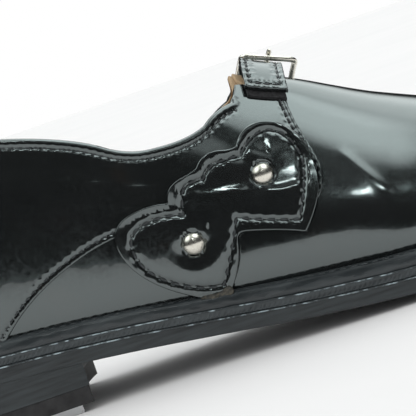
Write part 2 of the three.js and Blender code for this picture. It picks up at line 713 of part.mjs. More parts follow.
const group = new THREE.Group();
group.name = 'tap_shoe';
for (const { name, geometry, look } of parts) {
  const material = new THREE.MeshStandardMaterial(look);
  geometry.translate(-HEEL_TAP_CENTRE, 0, 0);
  const mesh = new THREE.Mesh(geometry, material);
  mesh.name = name;
  group.add(mesh);
}

export default group;
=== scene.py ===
import math

import bmesh
import bpy
import numpy as np
from mathutils import Matrix, Vector
from mathutils.geometry import delaunay_2d_cdt
from mathutils.kdtree import KDTree

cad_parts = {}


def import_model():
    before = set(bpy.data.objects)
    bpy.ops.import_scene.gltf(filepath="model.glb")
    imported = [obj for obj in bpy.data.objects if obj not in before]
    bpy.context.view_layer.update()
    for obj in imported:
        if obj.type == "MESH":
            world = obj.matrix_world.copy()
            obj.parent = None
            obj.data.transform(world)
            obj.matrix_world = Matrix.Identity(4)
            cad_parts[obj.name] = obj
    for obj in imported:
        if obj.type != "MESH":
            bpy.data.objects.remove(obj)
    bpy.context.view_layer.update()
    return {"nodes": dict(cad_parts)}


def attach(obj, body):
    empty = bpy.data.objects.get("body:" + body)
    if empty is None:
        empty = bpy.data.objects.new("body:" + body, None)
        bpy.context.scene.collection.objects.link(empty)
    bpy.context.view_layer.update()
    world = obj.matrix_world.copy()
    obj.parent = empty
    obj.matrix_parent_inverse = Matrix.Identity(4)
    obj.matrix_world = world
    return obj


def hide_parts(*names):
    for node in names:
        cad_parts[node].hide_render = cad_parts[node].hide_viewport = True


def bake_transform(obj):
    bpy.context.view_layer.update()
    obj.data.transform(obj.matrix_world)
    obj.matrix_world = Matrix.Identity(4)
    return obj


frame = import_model()

# ---------------------------------------------------------------- the foot shape (millimetres)

FOOT_LENGTH = 240.0
HEEL_TAP_CENTRE = 27.0
HEEL_ROUND = 34.0
TOE_ROUND_START = 176.0
TOE_DROP_START = 200.0
EDGE_TUCK = 0.08
EDGE_TUCK_HEIGHT = 6.0
HEEL_LEAN = 9.0
HEEL_LEAN_HEIGHT = 62.0
HEEL_UNDERCUT = 2.0
HEEL_UNDERCUT_HEIGHT = 9.0

# Flat coordinates run about as millimetres do on the side of the foot
STEP_ALONG = 377.0
STEP_AROUND = 60.0

# Inside and outside of each layer, as distances out from the foot shape
LINING = (0.3, 1.3)
TONGUE = (1.5, 2.25)
VAMP = (2.35, 3.3)
QUARTER = (3.4, 4.6)
PATCH = (4.7, 6.0)
STRAP = (5.8, 7.5)
CHAPE = (STRAP[1] - 0.1, STRAP[1] + 1.1)
HOOK_PATCH = (STRAP[0] - 0.75, STRAP[0] - 0.1)
LOOP_PATCH = (4.2, 4.85)
ELASTIC = (4.25, 5.6)

SIDES = ((-1, "inner"), (1, "outer"))


def curve(knots):
    """A smooth curve through knots that never overshoots a flat stretch."""
    xs = np.array([k[0] for k in knots], float)
    ys = np.array([k[1] for k in knots], float)
    step = np.diff(ys) / np.diff(xs)
    slope = np.zeros(len(xs))
    slope[0], slope[-1] = step[0], step[-1]
    for i in range(1, len(xs) - 1):
        before, after = xs[i] - xs[i - 1], xs[i + 1] - xs[i]
        if step[i - 1] * step[i] > 0:
            slope[i] = (step[i - 1] * after + step[i] * before) / (before + after)

    def at(x):
        x = np.asarray(x, float)
        i = np.clip(np.searchsorted(xs, x, side="right") - 1, 0, len(xs) - 2)
        span = xs[i + 1] - xs[i]
        t = np.clip((x - xs[i]) / span, 0, 1)
        low = ys[i] * (1 + 2 * t) * (1 - t) ** 2 + slope[i] * span * t * (1 - t) ** 2
        high = ys[i + 1] * t * t * (3 - 2 * t) + slope[i + 1] * span * t * t * (t - 1)
        return low + high

    return at


edge_height = curve([(0, 28.8), (30, 27.3), (55, 25.2), (74, 22.95), (96, 19.8), (130, 15.7),
                     (165, 13.5), (205, 13.5), (225, 15.4), (240, 19.0)])
middle = curve([(0, 0), (60, 0.5), (110, 2), (165, 2), (205, -2), (240, -8)])
outer_half = curve([(0, 27.5), (40, 28.5), (90, 31), (130, 37), (165, 41), (200, 39.5), (240, 35)])
inner_half = curve([(0, 27.5), (40, 28), (90, 28), (130, 33.5), (165, 38.5), (200, 38), (240, 35)])
body_height = curve([(0, 92), (60, 92), (92, 82), (127, 59.9), (141, 54.5), (165, 43), (190, 33),
                     (215, 27.5), (240, 25)])
fullness = curve([(0, 0), (60, 0), (96, 0.2), (127, 0.6), (150, 0.5), (180, 0.15), (205, -0.15),
                  (240, -0.3)])
sole_margin = curve([(-10, 7), (40, 7), (100, 7.6), (150, 9), (250, 9)])


def end_width(x):
    heel = np.where(x < HEEL_ROUND, np.sqrt(np.clip(1 - (1 - x / HEEL_ROUND) ** 2, 0, 1)), 1.0)
    toe = np.clip((x - TOE_ROUND_START) / (FOOT_LENGTH - TOE_ROUND_START), 0, 1)
    return heel * np.sqrt(np.clip(1 - toe ** 2.3, 0, 1))


def end_height(x):
    toe = np.clip((x - TOE_DROP_START) / (FOOT_LENGTH - TOE_DROP_START), 0, 1)
    return np.clip(1 - toe ** 3, 0, 1) ** (1 / 2.2)


def along_to_x(u):
    return FOOT_LENGTH * (1 - np.cos(np.pi * u)) / 2


def x_to_along(x):
    return np.arccos(np.clip(1 - 2 * np.asarray(x, float) / FOOT_LENGTH, -1, 1)) / np.pi


def foot(u, angle):
    """A point of the foot shape; angle 0 is the edge on the -Y side, pi/2 the ridge, pi the +Y edge."""
    u, angle = np.broadcast_arrays(np.asarray(u, float), np.asarray(angle, float))
    x = along_to_x(u)
    inner = angle < np.pi / 2
    half = np.where(inner, inner_half(x), outer_half(x)) * end_width(x)
    across = np.abs(np.cos(angle))
    rise = body_height(x) * end_height(x) * np.sin(angle)
    full = fullness(x)
    wall = across * (1 + full * across ** 2) / (1 + full)
    tuck = 1 - EDGE_TUCK * np.exp(-np.clip(rise, 0, None) / EDGE_TUCK_HEIGHT)
    near_heel = np.clip(1 - x / HEEL_LEAN_HEIGHT, 0, None) ** 2
    undercut = HEEL_UNDERCUT * np.exp(-np.clip(rise, 0, None) / HEEL_UNDERCUT_HEIGHT)
    lean = HEEL_LEAN * (rise / HEEL_LEAN_HEIGHT) ** 2 + undercut
    y = middle(x) + np.where(inner, -1, 1) * half * wall * tuck
    return np.stack([x + near_heel * lean, y, edge_height(x) + rise], -1)


def unit(v):
    return v / np.maximum(np.linalg.norm(v, axis=-1, keepdims=True), 1e-12)


def foot_normal(u, angle):
    u, angle = np.broadcast_arrays(np.asarray(u, float), np.asarray(angle, float))
    e = 1e-4
    heel = u < 1e-6
    bend = np.where(heel & (angle > np.pi / 2), np.pi - angle, angle)
    from_u = np.clip(u, 2e-3, 1 - 2e-3)
    along = foot(from_u + e, bend) - foot(from_u - e, bend)
    around = foot(from_u, bend + e) - foot(from_u, bend - e)
    n = np.cross(along, around)
    n[..., 1] = np.where(heel, 0, n[..., 1])
    n = unit(n)
    n[u > 1 - 1e-6] = (1, 0, 0)
    return n


def skin(u, angle, out):
    """The point a distance out from the foot shape."""
    return foot(u, angle) + np.asarray(out, float)[..., None] * foot_normal(u, angle)


def locate(side, x, z, out):
    """Where a side-view point lies on the foot shape, as (along, angle)."""
    x, z = np.asarray(x, float), np.asarray(z, float)
    px, pz = x.copy(), z.copy()
    for _ in range(14):
        u = x_to_along(px)
        angle = np.arcsin(np.clip((pz - edge_height(px)) / (body_height(px) * end_height(px)), 0, 1))
        if side > 0:
            angle = np.pi - angle
        p = skin(u, angle, np.full(px.shape, out))
        px = px + 0.9 * (x - p[..., 0])
        pz = pz + 0.9 * (z - p[..., 2])
    return u, angle


def to_flat(u, angle):
    """Millimetre-like flat coordinates in which pieces are outlined and divided."""
    return np.stack([u * STEP_ALONG, angle * STEP_AROUND], -1)


def from_flat(flat):
    return flat[..., 0] / STEP_ALONG, flat[..., 1] / STEP_AROUND


def space_of(flat, out):
    u, angle = from_flat(flat)
    return skin(u, angle, np.full(len(flat), out))


def to_frame(points):
    return (np.asarray(points, float) - (HEEL_TAP_CENTRE, 0, 0)) * 0.001


# ---------------------------------------------------------------- outlines

def eased(t):
    """A smooth step from 0 to 1."""
    return t * t * (3 - 2 * t)


def round_drop(gap, radius):
    """How far a rounded edge has dropped, at a gap from its brink."""
    t = np.clip(gap / radius, 0, 1)
    return radius * (1 - np.sqrt(np.clip(1 - (1 - t) ** 2, 0, 1)))


def run_lengths(points):
    """The length of a line up to each of its points."""
    return np.concatenate([[0], np.cumsum(np.linalg.norm(np.diff(points, axis=0), axis=1))])


def lobes(start, bends, steps=12):
    """Points along a run of quadratic arcs: each bend is (control x, control z, end x, end z)."""
    points = [np.array([start], float)]
    here = np.array(start, float)
    t = (np.arange(1, steps + 1) / steps)[:, None]
    for cx, cz, x, z in bends:
        control, to = np.array([cx, cz], float), np.array([x, z], float)
        points.append((1 - t) ** 2 * here + 2 * t * (1 - t) * control + t ** 2 * to)
        here = to
    return np.vstack(points)


def spaced(points, step, closed=False):
    """The same line with points an even step apart; corners keep their place only if they fall on a step."""
    points = np.asarray(points, float)
    if closed:
        points = np.vstack([points, points[:1]])
    lengths = run_lengths(points)
    count = max(round(lengths[-1] / step), 2)
    wanted = np.linspace(0, lengths[-1], count + 1)
    if closed:
        wanted = wanted[:-1]
    return at_lengths(wanted, lengths, points)


def at_lengths(wanted, lengths, points):
    """Points of a line at the wanted lengths along it."""
    return np.stack([np.interp(wanted, lengths, column) for column in points.T], -1)


def side_line(side, points, out):
    """A side-view line as flat coordinates."""
    u, angle = locate(side, points[:, 0], points[:, 1], out)
    return to_flat(u, angle)


class Path:
    """A line in space with fast exact distances."""

    def __init__(self, points, closed=False):
        self.points = spaced(points, 0.25, closed)
        self.closed = closed
        self.tree = KDTree(len(self.points))
        for i, p in enumerate(self.points):
            self.tree.insert(p, i)
        self.tree.balance()
        self.lengths = run_lengths(np.vstack([self.points, self.points[:1]]))
        self.total = self.lengths[-1] if closed else self.lengths[-2]

    def nearest(self, where):
        """Distance, length along the line, and nearest point for each place."""
        n = len(self.points)
        near = np.array([self.tree.find(p)[1] for p in where])
        best = np.full(len(where), 1e9)
        along = np.zeros(len(where))
        spot = np.zeros((len(where), 3))
        for shift in (-1, 0):
            i = (near + shift) % n if self.closed else np.clip(near + shift, 0, n - 2)
            a = self.points[i]
            ab = self.points[(i + 1) % n] - a
            t = np.clip(((where - a) * ab).sum(1) / np.maximum((ab * ab).sum(1), 1e-12), 0, 1)
            p = a + t[:, None] * ab
            d = np.linalg.norm(where - p, axis=1)
            closer = d < best
            best = np.where(closer, d, best)
            along = np.where(closer, self.lengths[i] + t * np.linalg.norm(ab, axis=1), along)
            spot = np.where(closer[:, None], p, spot)
        return best, along, spot


# ---------------------------------------------------------------- meshes

def make_object(name, points, faces, look, body, replaced=(), normals=None):
    """A smooth mesh that rides on a body, in place of the CAD nodes it replaces."""
    material, slot = look
    mesh = bpy.data.meshes.new(name)
    mesh.from_pydata([tuple(p) for p in to_frame(points)], [], faces)
    mesh.validate()
    mesh.shade_smooth()
    obj = bpy.data.objects.new(name, mesh)
    bpy.context.scene.collection.objects.link(obj)
    mesh.materials.append(material)
    if normals is not None and len(mesh.vertices) == len(normals):
        mesh.normals_split_custom_set_from_vertices([tuple(n) for n in normals])
    if body:
        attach(obj, body)
    if replaced:
        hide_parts(*replaced)
    return obj


def inside_loop(points, loop):
    """Which points lie inside a closed loop."""
    x, y = points[:, 0], points[:, 1]
    inside = np.zeros(len(points), bool)
    a, b = loop, np.roll(loop, -1, axis=0)
    for (ax, ay), (bx, by) in zip(a, b):
        crosses = (ay > y) != (by > y)
        with np.errstate(divide="ignore", invalid="ignore"):
            at = (bx - ax) * (y - ay) / (by - ay) + ax
        inside ^= crosses & (x < at)
    return inside


HEX_ROW = 0.866


def hex_grid(low, high, step):
    xs = np.arange(low[0], high[0], step)
    ys = np.arange(low[1], high[1], step * HEX_ROW)
    gx, gy = np.meshgrid(xs, ys)
    gx = gx + (np.arange(len(ys)) % 2)[:, None] * step / 2
    return np.stack([gx.ravel(), gy.ravel()], -1)


def flat_step(flat, out):
    """How many real millimetres one flat millimetre is, each way, at a place."""
    u, angle = from_flat(flat)
    e = 0.05
    d = np.full(len(flat), out)
    here = skin(u, angle, d)
    along = skin(np.clip(u + e / STEP_ALONG, 0, 1), angle, d) - here
    around = skin(u, angle + e / STEP_AROUND, d) - here
    return np.stack([np.linalg.norm(along, axis=1), np.linalg.norm(around, axis=1)], -1) / e


class Surface:
    """The outer face of a piece: a height over the foot shape plus relief."""

    def __init__(self, out, reliefs):
        self.out = out
        self.reliefs = reliefs

    def base(self, flat):
        return space_of(flat, self.out)

    def at(self, flat):
        base = self.base(flat)
        height = sum(relief(base) for relief in self.reliefs)
        return base + height[:, None] * foot_normal(*from_flat(flat))

    def normal(self, flat):
        e = 0.02
        flat = flat.copy()
        flat[:, 0] = np.clip(flat[:, 0], 2 * e + 0.4, STEP_ALONG - 2 * e - 0.4)
        along = self.at(flat + (e, 0)) - self.at(flat - (e, 0))
        around = self.at(flat + (0, e)) - self.at(flat - (0, e))
        return unit(np.cross(along, around))


def panel(name, loop, layer, reliefs, look, body, replaced=(), step=1.6, fine=None, edge=0.45, backing=None):
    """A piece of leather: a flat outline laid over the foot shape, with rounded edges and relief.

    fine is a smaller step, how far it reaches, and the lines that it is used beside."""
    inside, outside = layer
    n = len(loop)
    scale = flat_step(loop, outside)
    run = (np.roll(loop, -1, axis=0) - np.roll(loop, 1, axis=0)) * scale
    area = 0.5 * np.sum(loop[:, 0] * np.roll(loop[:, 1], -1) - np.roll(loop[:, 0], -1) * loop[:, 1])
    inward = unit(np.stack([-run[:, 1], run[:, 0]], -1)) * np.sign(area)
    edge_path = Path(space_of(loop, outside), closed=True)
    surface = Surface(outside, list(reliefs) + [lambda base: -round_drop(edge_path.nearest(base)[0], edge)])

    def within(flat, least):
        flat = flat[inside_loop(flat, loop)]
        return flat[edge_path.nearest(surface.base(flat))[0] > least]

    low, high = loop.min(0), loop.max(0)
    parts = [loop]
    for share in (0.07, 0.25, 0.6, 1.05):
        distance = share * edge
        parts.append(within(loop + inward * distance / scale, 0.9 * distance))
    grid = within(hex_grid(low, high, step), max(0.7 * step, 1.4 * edge))
    if fine:
        fine_step, reach, paths = fine

        def near(flat):
            base = surface.base(flat)
            return np.min([path.nearest(base)[0] for path in paths], axis=0)

        small = within(hex_grid(low, high, fine_step), max(0.6 * fine_step, 1.3 * edge))
        parts.append(small[near(small) < reach])
        grid = grid[near(grid) > reach + 0.3 * step]
    flat = np.vstack(parts + [grid])
    made = delaunay_2d_cdt([Vector(p) for p in flat], [(i, (i + 1) % n) for i in range(n)], [], 1, 1e-5)
    flat = np.array([v[:] for v in made[0]])
    count = len(flat)
    place = {came_from[0]: i for i, came_from in enumerate(made[3]) if came_from}
    ring = [place[i] for i in range(n)]
    base_normal = foot_normal(*from_flat(flat))
    top = surface.at(flat)
    back = space_of(flat, inside)
    if backing:
        back = back + backing(back)[:, None] * base_normal
    a, b, c = (flat[[f[k] for f in made[2]]] for k in range(3))
    front = [list(f) if turn > 0 else list(f)[::-1] for f, turn in zip(made[2], np.cross(b - a, c - a))]
    rear = [[i + count for i in f[::-1]] for f in front]
    if area < 0:
        ring = ring[::-1]
    walls = [[q, p, p + count, q + count] for p, q in zip(ring, ring[1:] + ring[:1])]
    rim = np.array(ring)
    out = unit(np.cross(top[np.roll(rim, -1)] - top[np.roll(rim, 1)], base_normal[rim]))
    normals = np.vstack([surface.normal(flat), -base_normal])
    normals[rim] = out
    normals[rim + count] = out
    points = np.vstack([top, back])
    return make_object(name, points, front + rear + walls, look, body, replaced, normals), surface


def ring_faces(rings, sides, closed):
    """Faces between rings of points; unless the rings come round again, both ends are closed."""
    faces = []
    for i in range(rings if closed else rings - 1):
        j = (i + 1) % rings
        for k in range(sides):
            m = (k + 1) % sides
            faces.append([i * sides + k, i * sides + m, j * sides + m, j * sides + k])
    if not closed:
        faces.append(list(range(sides))[::-1])
        faces.append(list(range((rings - 1) * sides, rings * sides)))
    return faces


def tube(points, radius, sides=8, closed=False, ups=(0.3, 0.2, 1.0)):
    """Points and faces of a round tube along a line."""
    if closed:
        run = np.roll(points, -1, axis=0) - np.roll(points, 1, axis=0)
    else:
        run = np.gradient(points, axis=0)
    run = unit(run)
    a = unit(np.cross(run, np.broadcast_to(ups, run.shape)))
    b = np.cross(run, a)
    turns = 2 * np.pi * np.arange(sides) / sides
    radii = np.broadcast_to(np.asarray(radius, float), (len(points),))
    ring = np.cos(turns)[None, :, None] * a[:, None] + np.sin(turns)[None, :, None] * b[:, None]
    verts = points[:, None] + radii[:, None, None] * ring
    return verts.reshape(-1, 3), ring_faces(len(points), sides, closed)


def turned(profile, at, axis, sides):
    """Points and faces of a profile (radius, height) turned about an axis."""
    a = unit(np.cross(axis, (0.2, 1.0, 0.1)))
    b = np.cross(axis, a)
    turns = 2 * np.pi * np.arange(sides) / sides
    around = np.cos(turns)[:, None] * a + np.sin(turns)[:, None] * b
    closed = profile[0] == profile[-1]
    rings = len(profile) - closed
    points = np.vstack([at + r * around + h * axis for r, h in profile[:rings]])
    return points, ring_faces(rings, sides, closed)


def joined(parts):
    points, faces, count = [], [], 0
    for p, f in parts:
        points.append(p)
        faces.extend([[i + count for i in face] for face in f])
        count += len(p)
    return np.vstack(points), faces


def stitches(name, surface, lines, pitch, thread, look, body, height=0.12):
    """Rows of thread: each stitch rises out of one hole and goes down the next."""
    parts = []
    for flat, closed in lines:
        dense = spaced(flat, 0.2, closed)
        if closed:
            dense = np.vstack([dense, dense[:1]])
        lengths = run_lengths(surface.at(dense))
        count = max(round(lengths[-1] / pitch), 1)
        t = np.linspace(0, 1, 9)
        rise = height * np.sin(np.pi * t) ** 0.6 - 1.1 * thread * (1 - np.sin(np.pi * t) ** 0.5)
        radius = thread * (0.72 + 0.28 * np.sin(np.pi * t))
        for i in range(count):
            at = (i + 0.5 + (t - 0.5) * STITCH_SHARE) * (lengths[-1] / count)
            place = at_lengths(at, lengths, dense)
            normal = surface.normal(place)
            parts.append(tube(surface.at(place) + normal * rise[:, None], radius, ups=normal.mean(0)))
    return make_object(name, *joined(parts), look, body)


def weld(obj):
    """Closes seams between rows that meet, and marks real corners as sharp."""
    mesh = obj.data
    work = bmesh.new()
    work.from_mesh(mesh)
    bmesh.ops.remove_doubles(work, verts=work.verts, dist=2e-6)
    bmesh.ops.recalc_face_normals(work, faces=work.faces)
    work.to_mesh(mesh)
    work.free()
    mesh.set_sharp_from_angle(angle=math.radians(38))


def plate_faces(rows, columns):
    """Faces of a plate whose top grid of points is followed by its bottom grid."""
    m = columns + 1
    size = (rows + 1) * m
    faces = []
    for i in range(rows):
        for j in range(columns):
            a, b, c, d = i * m + j, (i + 1) * m + j, (i + 1) * m + j + 1, i * m + j + 1
            faces.append([a, b, c, d])
            faces.append([d + size, c + size, b + size, a + size])
    for i in range(rows):
        a, b = i * m, (i + 1) * m
        faces.append([a, a + size, b + size, b])
        a, b = a + columns, b + columns
        faces.append([b, b + size, a + size, a])
    for a in range(columns):
        faces.append([a + 1, a + 1 + size, a + size, a])
        b = rows * m + a
        faces.append([b, b + size, b + 1 + size, b + 1])
    return faces


# ---------------------------------------------------------------- materials

def add(tree, kind, **inputs):
    node = tree.nodes.new(kind)
    for key, value in inputs.items():
        node.inputs[key.replace("_", " ")].default_value = value
    return node


def object_noise(tree, scale, detail, stretch=(1, 1, 1)):
    where = tree.nodes.new("ShaderNodeTexCoord")
    sized = add(tree, "ShaderNodeMapping", Scale=stretch)
    tree.links.new(where.outputs["Object"], sized.inputs["Vector"])
    noise = add(tree, "ShaderNodeTexNoise", Scale=scale, Detail=detail)
    tree.links.new(sized.outputs["Vector"], noise.inputs["Vector"])
    return noise.outputs["Fac"]


def ramp(tree, source, stops):
    node = tree.nodes.new("ShaderNodeValToRGB")
    line = node.color_ramp
    while len(line.elements) < len(stops):
        line.elements.new(0.5)
    for element, (at, colour) in zip(line.elements, stops):
        element.position = at
        element.color = (*colour, 1)
    tree.links.new(source, node.inputs["Fac"])
    return node.outputs["Color"]


def grey_ramp(tree, source, stops):
    return ramp(tree, source, [(at, (value, value, value)) for at, value in stops])


def bump(tree, shader, height, strength, distance, into="Normal"):
    node = add(tree, "ShaderNodeBump", Strength=strength, Distance=distance)
    tree.links.new(height, node.inputs["Height"])
    tree.links.new(node.outputs["Normal"], shader.inputs[into])


def textured(name, noise, stops, rough, relief=None, stretch=(1, 1, 1)):
    """A material whose colour, roughness and relief follow one noise, given by its scale and detail.

    rough is one value or stops; relief is a strength and a depth in metres."""
    material = bpy.data.materials.new(name)
    material.use_nodes = True
    tree = material.node_tree
    shader = tree.nodes["Principled BSDF"]
    source = object_noise(tree, *noise, stretch)
    tree.links.new(ramp(tree, source, stops), shader.inputs["Base Color"])
    if isinstance(rough, list):
        tree.links.new(grey_ramp(tree, source, rough), shader.inputs["Roughness"])
    else:
        shader.inputs["Roughness"].default_value = rough
    if relief:
        bump(tree, shader, source, *relief)
    return material, tree, shader


def patent_leather():
    """Black leather under a thick glossy coat, with faint ripple and fine wear."""
    stops = [(0.35, (0.0052, 0.0056, 0.0058)), (0.62, (0.0075, 0.0078, 0.008)),
             (0.8, (0.013, 0.0095, 0.0075))]
    material, tree, shader = textured("patent_leather", (60, 4), stops, 0.5)
    rough = grey_ramp(tree, object_noise(tree, 900, 5), [(0.3, 0.1), (0.75, 0.22)])
    tree.links.new(rough, shader.inputs["Roughness"])
    for name, value in (("IOR", 1.62), ("Specular IOR Level", 0.9), ("Specular Tint", (0.84, 1.0, 1.0, 1)),
                        ("Coat Weight", 1.0), ("Coat IOR", 1.55), ("Coat Roughness", 0.03)):
        shader.inputs[name].default_value = value
    ripples = object_noise(tree, 170, 2)
    bump(tree, shader, ripples, 0.05, 0.0006, "Coat Normal")
    bump(tree, shader, ripples, 0.07, 0.0006)
    return material


def lining_leather():
    """Pale matt leather with fine pores."""
    stops = [(0.3, (0.40, 0.28, 0.16)), (0.7, (0.52, 0.38, 0.23))]
    material, tree, shader = textured("lining_leather", (90, 5), stops, 0.72)
    pores = add(tree, "ShaderNodeTexVoronoi", Scale=900)
    where = tree.nodes.new("ShaderNodeTexCoord")
    tree.links.new(where.outputs["Object"], pores.inputs["Vector"])
    bump(tree, shader, pores.outputs["Distance"], 0.25, 0.0003)
    return material


def thread_black():
    stops = [(0.3, (0.012, 0.014, 0.015)), (0.8, (0.07, 0.08, 0.085))]
    return textured("thread_black", (2500, 3), stops, 0.38, (0.5, 0.0002))[0]


def painted_glint_edge():
    """Black leather with pale streaks painted in as broken glints of light."""
    stops = [(0.47, (0.035, 0.042, 0.046)), (0.62, (0.34, 0.42, 0.45))]
    return textured("painted_glint_edge", (420, 6), stops, 0.35, (0.4, 0.0003))[0]


def sole_edge(name, base, rough, stripes):
    """Waxed black leather edge with fine lines along the shoe."""
    stops = [(0.3, (base * 0.42, base * 0.52, base * 0.57)), (0.7, (base * 1.2, base * 1.45, base * 1.55))]
    return textured(name, (60, 6), stops, [(0.3, rough), (0.75, rough + 0.25)], (0.35, 0.0005),
                    (1, 1, stripes))[0]


def metal(name, colour, rough, scratch):
    stops = [(0.3, tuple(0.9 * c for c in colour)), (0.7, colour)]
    material, _, shader = textured(name, (260, 5), stops, [(0.3, rough), (0.8, rough + scratch)],
                                   (0.05 + scratch * 0.3, 0.0002), (1, 5, 1))
    shader.inputs["Metallic"].default_value = 1.0
    return material


def plain(name, low, high, rough, scale):
    return textured(name, (scale, 5), [(0.3, low), (0.7, high)], rough, (0.3, 0.0003))[0]


# Each look is a material and the slot that it belongs to
PATENT = patent_leather(), "patent_leather"
LINING_LOOK = lining_leather(), "lining_leather"
THREAD = thread_black()
UPPER_THREAD = THREAD, "patent_leather"
SOLE_THREAD = THREAD, "sole_leather"
WELT_LOOK = sole_edge("welt_edge", 0.036, 0.16, 6), "sole_leather"
MIDSOLE_LOOK = sole_edge("midsole_edge", 0.05, 0.32, 9), "sole_leather"
OUTSOLE_LOOK = sole_edge("outsole_edge", 0.034, 0.42, 14), "sole_leather"
# pale streaks painted on the sole's ridges as glints of light: a painted highlight
PAINTED_GLINT = painted_glint_edge(), "sole_leather"
GLUE = plain("dried_glue", (0.012, 0.015, 0.015), (0.085, 0.076, 0.054), 0.5, 1100), "patent_leather"
RUBBER = plain("heel_rubber", (0.012, 0.012, 0.013), (0.03, 0.03, 0.031), 0.7, 400), "heel_rubber"
BOARD = plain("fibre_board", (0.3, 0.22, 0.13), (0.46, 0.36, 0.24), 0.85, 300), "fibre_board"
TEXTILE = plain("woven_black", (0.006, 0.006, 0.007), (0.03, 0.03, 0.032), 0.9, 1200), "woven_textile"
BRIGHT = metal("bright_metal", (0.84, 0.81, 0.72), 0.24, 0.08), "bright_metal"
TAP_METAL = metal("tap_metal", (0.62, 0.63, 0.64), 0.26, 0.2), "tap_metal"
STEEL = metal("plain_steel", (0.5, 0.5, 0.5), 0.3, 0.2), "plain_steel"


# ---------------------------------------------------------------- side-view outlines (x, z)

TOPLINE = lobes((-20, 91), [(-5, 91, 10, 90.5), (32, 90, 50, 85.5), (70, 80, 80.6, 73.2),
                            (88, 67.5, 96, 67.2), (106, 66.2, 112, 68.7), (116, 72, 121.6, 72.3)])
OUTER_DIP = 5.0
DIP_MIDDLE = 66.0
DIP_HALF = 56.0
LINING_LOWER = 0.7
TAB_REAR = lobes((121.6, 72.3), [(123.8, 74, 124.6, 76.6), (131, 75, 137.2, 72.4)])
TAB_FRONT = lobes((137.2, 72.4), [(137.6, 66, 138, 60.2), (140.6, 50, 140.6, 45.5),
                                  (139, 40, 136.4, 37.6)])
WING_END = 33.0
WING = lobes((136.4, 37.6), [(120, 33.5, 104, 40), (92, 46.6, 77, 45.8), (70, 45.4, 62, 42.6),
                             (44, 37, WING_END, 24)])
PATCH_EDGE = lobes((75.9, 44.4), [(76.4, 50.4, 84.4, 51.2), (89.4, 51.8, 94.1, 50.4),
                                  (94.4, 54.8, 99.6, 55.8), (102.8, 56.2, 105.2, 57),
                                  (108, 60.8, 113.4, 59.6), (116, 58.6, 118.4, 58.9),
                                  (121, 64, 127.6, 63), (135.4, 61.2, 138, 54.2),
                                  (140.2, 46, 137.4, 40.2), (135.2, 35.4, 129.9, 29.8),
                                  (124, 32.6, 114.2, 35.2), (110.8, 36.2, 110.2, 34),
                                  (108.2, 25, 103, 19.4), (100.4, 17.4, 94.4, 20.8),
                                  (84.4, 26.6, 79.6, 33.2), (75.6, 39, 75.9, 44.4)])
PATCH_STITCH = lobes((79.9, 41.2), [(80.2, 46.6, 87.2, 47.2), (92, 47.6, 97.6, 45.8), (98, 49, 99, 51.4),
                                    (100.4, 55, 106.2, 53.6), (108.8, 57.2, 113.2, 56.9),
                                    (116, 56.9, 119, 56.5), (123.6, 61.6, 128.8, 60.6),
                                    (135.4, 58.8, 136, 50), (134.8, 43.6, 129.3, 33.9),
                                    (120.4, 36.2, 111.9, 40.2), (107.6, 31.2, 102, 22.3),
                                    (95.4, 22.6, 88.4, 27.6), (80, 33.4, 79.9, 41.2)])
# Each rivet's place along the shoe and its angle in degrees up from the edge
RIVETS = {"upper": (123.2, 30.2), "lower": (97.7, 12.3)}
# How deep each rivet draws the leather in, and the radii where that starts and ends
DIMPLES = {"upper": (0.25, 2.9, 5.0), "lower": (0.7, 2.9, 8.6)}

# Stitch pitches, and how much of its pitch a stitch covers
TOP_PITCH = 2.5
WING_PITCH = 2.7
PATCH_PITCH = 3.9
STRAP_PITCH = 2.8
CHAPE_PITCH = 2.4
WELT_PITCH = 3.2
STITCH_SHARE = 0.74
# How far the top stitch row lies from the edge, and where along the shoe it starts
TOP_MARGIN = 2.9
TOP_ROW_START = 12.0


def topline(side):
    """The top edge in side view; the outer side dips lower round the ankle."""
    line = TOPLINE.copy()
    if side > 0:
        line[:, 1] -= OUTER_DIP * np.clip(1 - ((line[:, 0] - DIP_MIDDLE) / DIP_HALF) ** 4, 0, None)
    return line


def own_angle(side, angle):
    """Turns an angle counted up from a side's own edge into the foot's angle, and back."""
    return angle if side < 0 else np.pi - angle


def rivet_place(which, side):
    x, degrees = RIVETS[which]
    return float(x_to_along(x)), own_angle(side, math.radians(degrees))


# ---------------------------------------------------------------- relief

def stitched(path, pitch, depth=0.3, width=0.5, pucker=0.12, reach=1.3):
    """A sewn valley with a dent at each hole and swellings between them."""
    count = max(round(path.total / pitch), 1)

    def relief(base):
        e, along, _ = path.nearest(base)
        wave = np.cos(2 * np.pi * along * count / path.total)
        valley = -depth * np.exp(-(e / width) ** 2)
        hole = -0.7 * depth * (0.5 + 0.5 * wave) ** 5 * np.exp(-(e / (0.8 * width)) ** 2)
        swell = -pucker * wave * np.exp(-((e - reach) / (0.6 * reach)) ** 2)
        return valley + hole + swell

    return relief


def dimple(centre, depth, start, end):
    """Leather drawn in round a rivet, and most of all below it."""
    def relief(base):
        r = np.linalg.norm(base - centre, axis=1)
        t = np.clip((r - start) / (end - start), 0, 1)
        under = np.clip(0.5 + 0.5 * (centre[2] - base[:, 2]) / np.maximum(r, 0.1), 0, 1)
        return -depth * (1 - eased(t)) * eased(under) - 0.5 * np.exp(-((r - start - 0.45) / 0.35) ** 2)

    return relief


def ridge(path, height, above, below):
    """A soft fold, with its own width on the upper and the lower side."""
    def relief(base):
        e, along, spot = path.nearest(base)
        width = np.where(base[:, 2] > spot[:, 2], above, below)
        ends = np.clip(np.minimum(along, path.total - along) / (0.18 * path.total), 0, 1)
        return height * np.exp(-(e / width) ** 2) * eased(ends)

    return relief


def ripple(amount, size, seed):
    """Slow waviness made of a few fixed sine waves."""
    rng = np.random.default_rng(seed)
    waves = rng.normal(0, 1, (7, 3))
    waves = waves / np.linalg.norm(waves, axis=1)[:, None]
    waves = waves * (2 * np.pi / size) * rng.uniform(0.6, 1.7, (7, 1))
    phases = rng.uniform(0, 2 * np.pi, 7)

    def relief(base):
        return amount * np.sin(base @ waves.T + phases).sum(1) / 3

    return relief


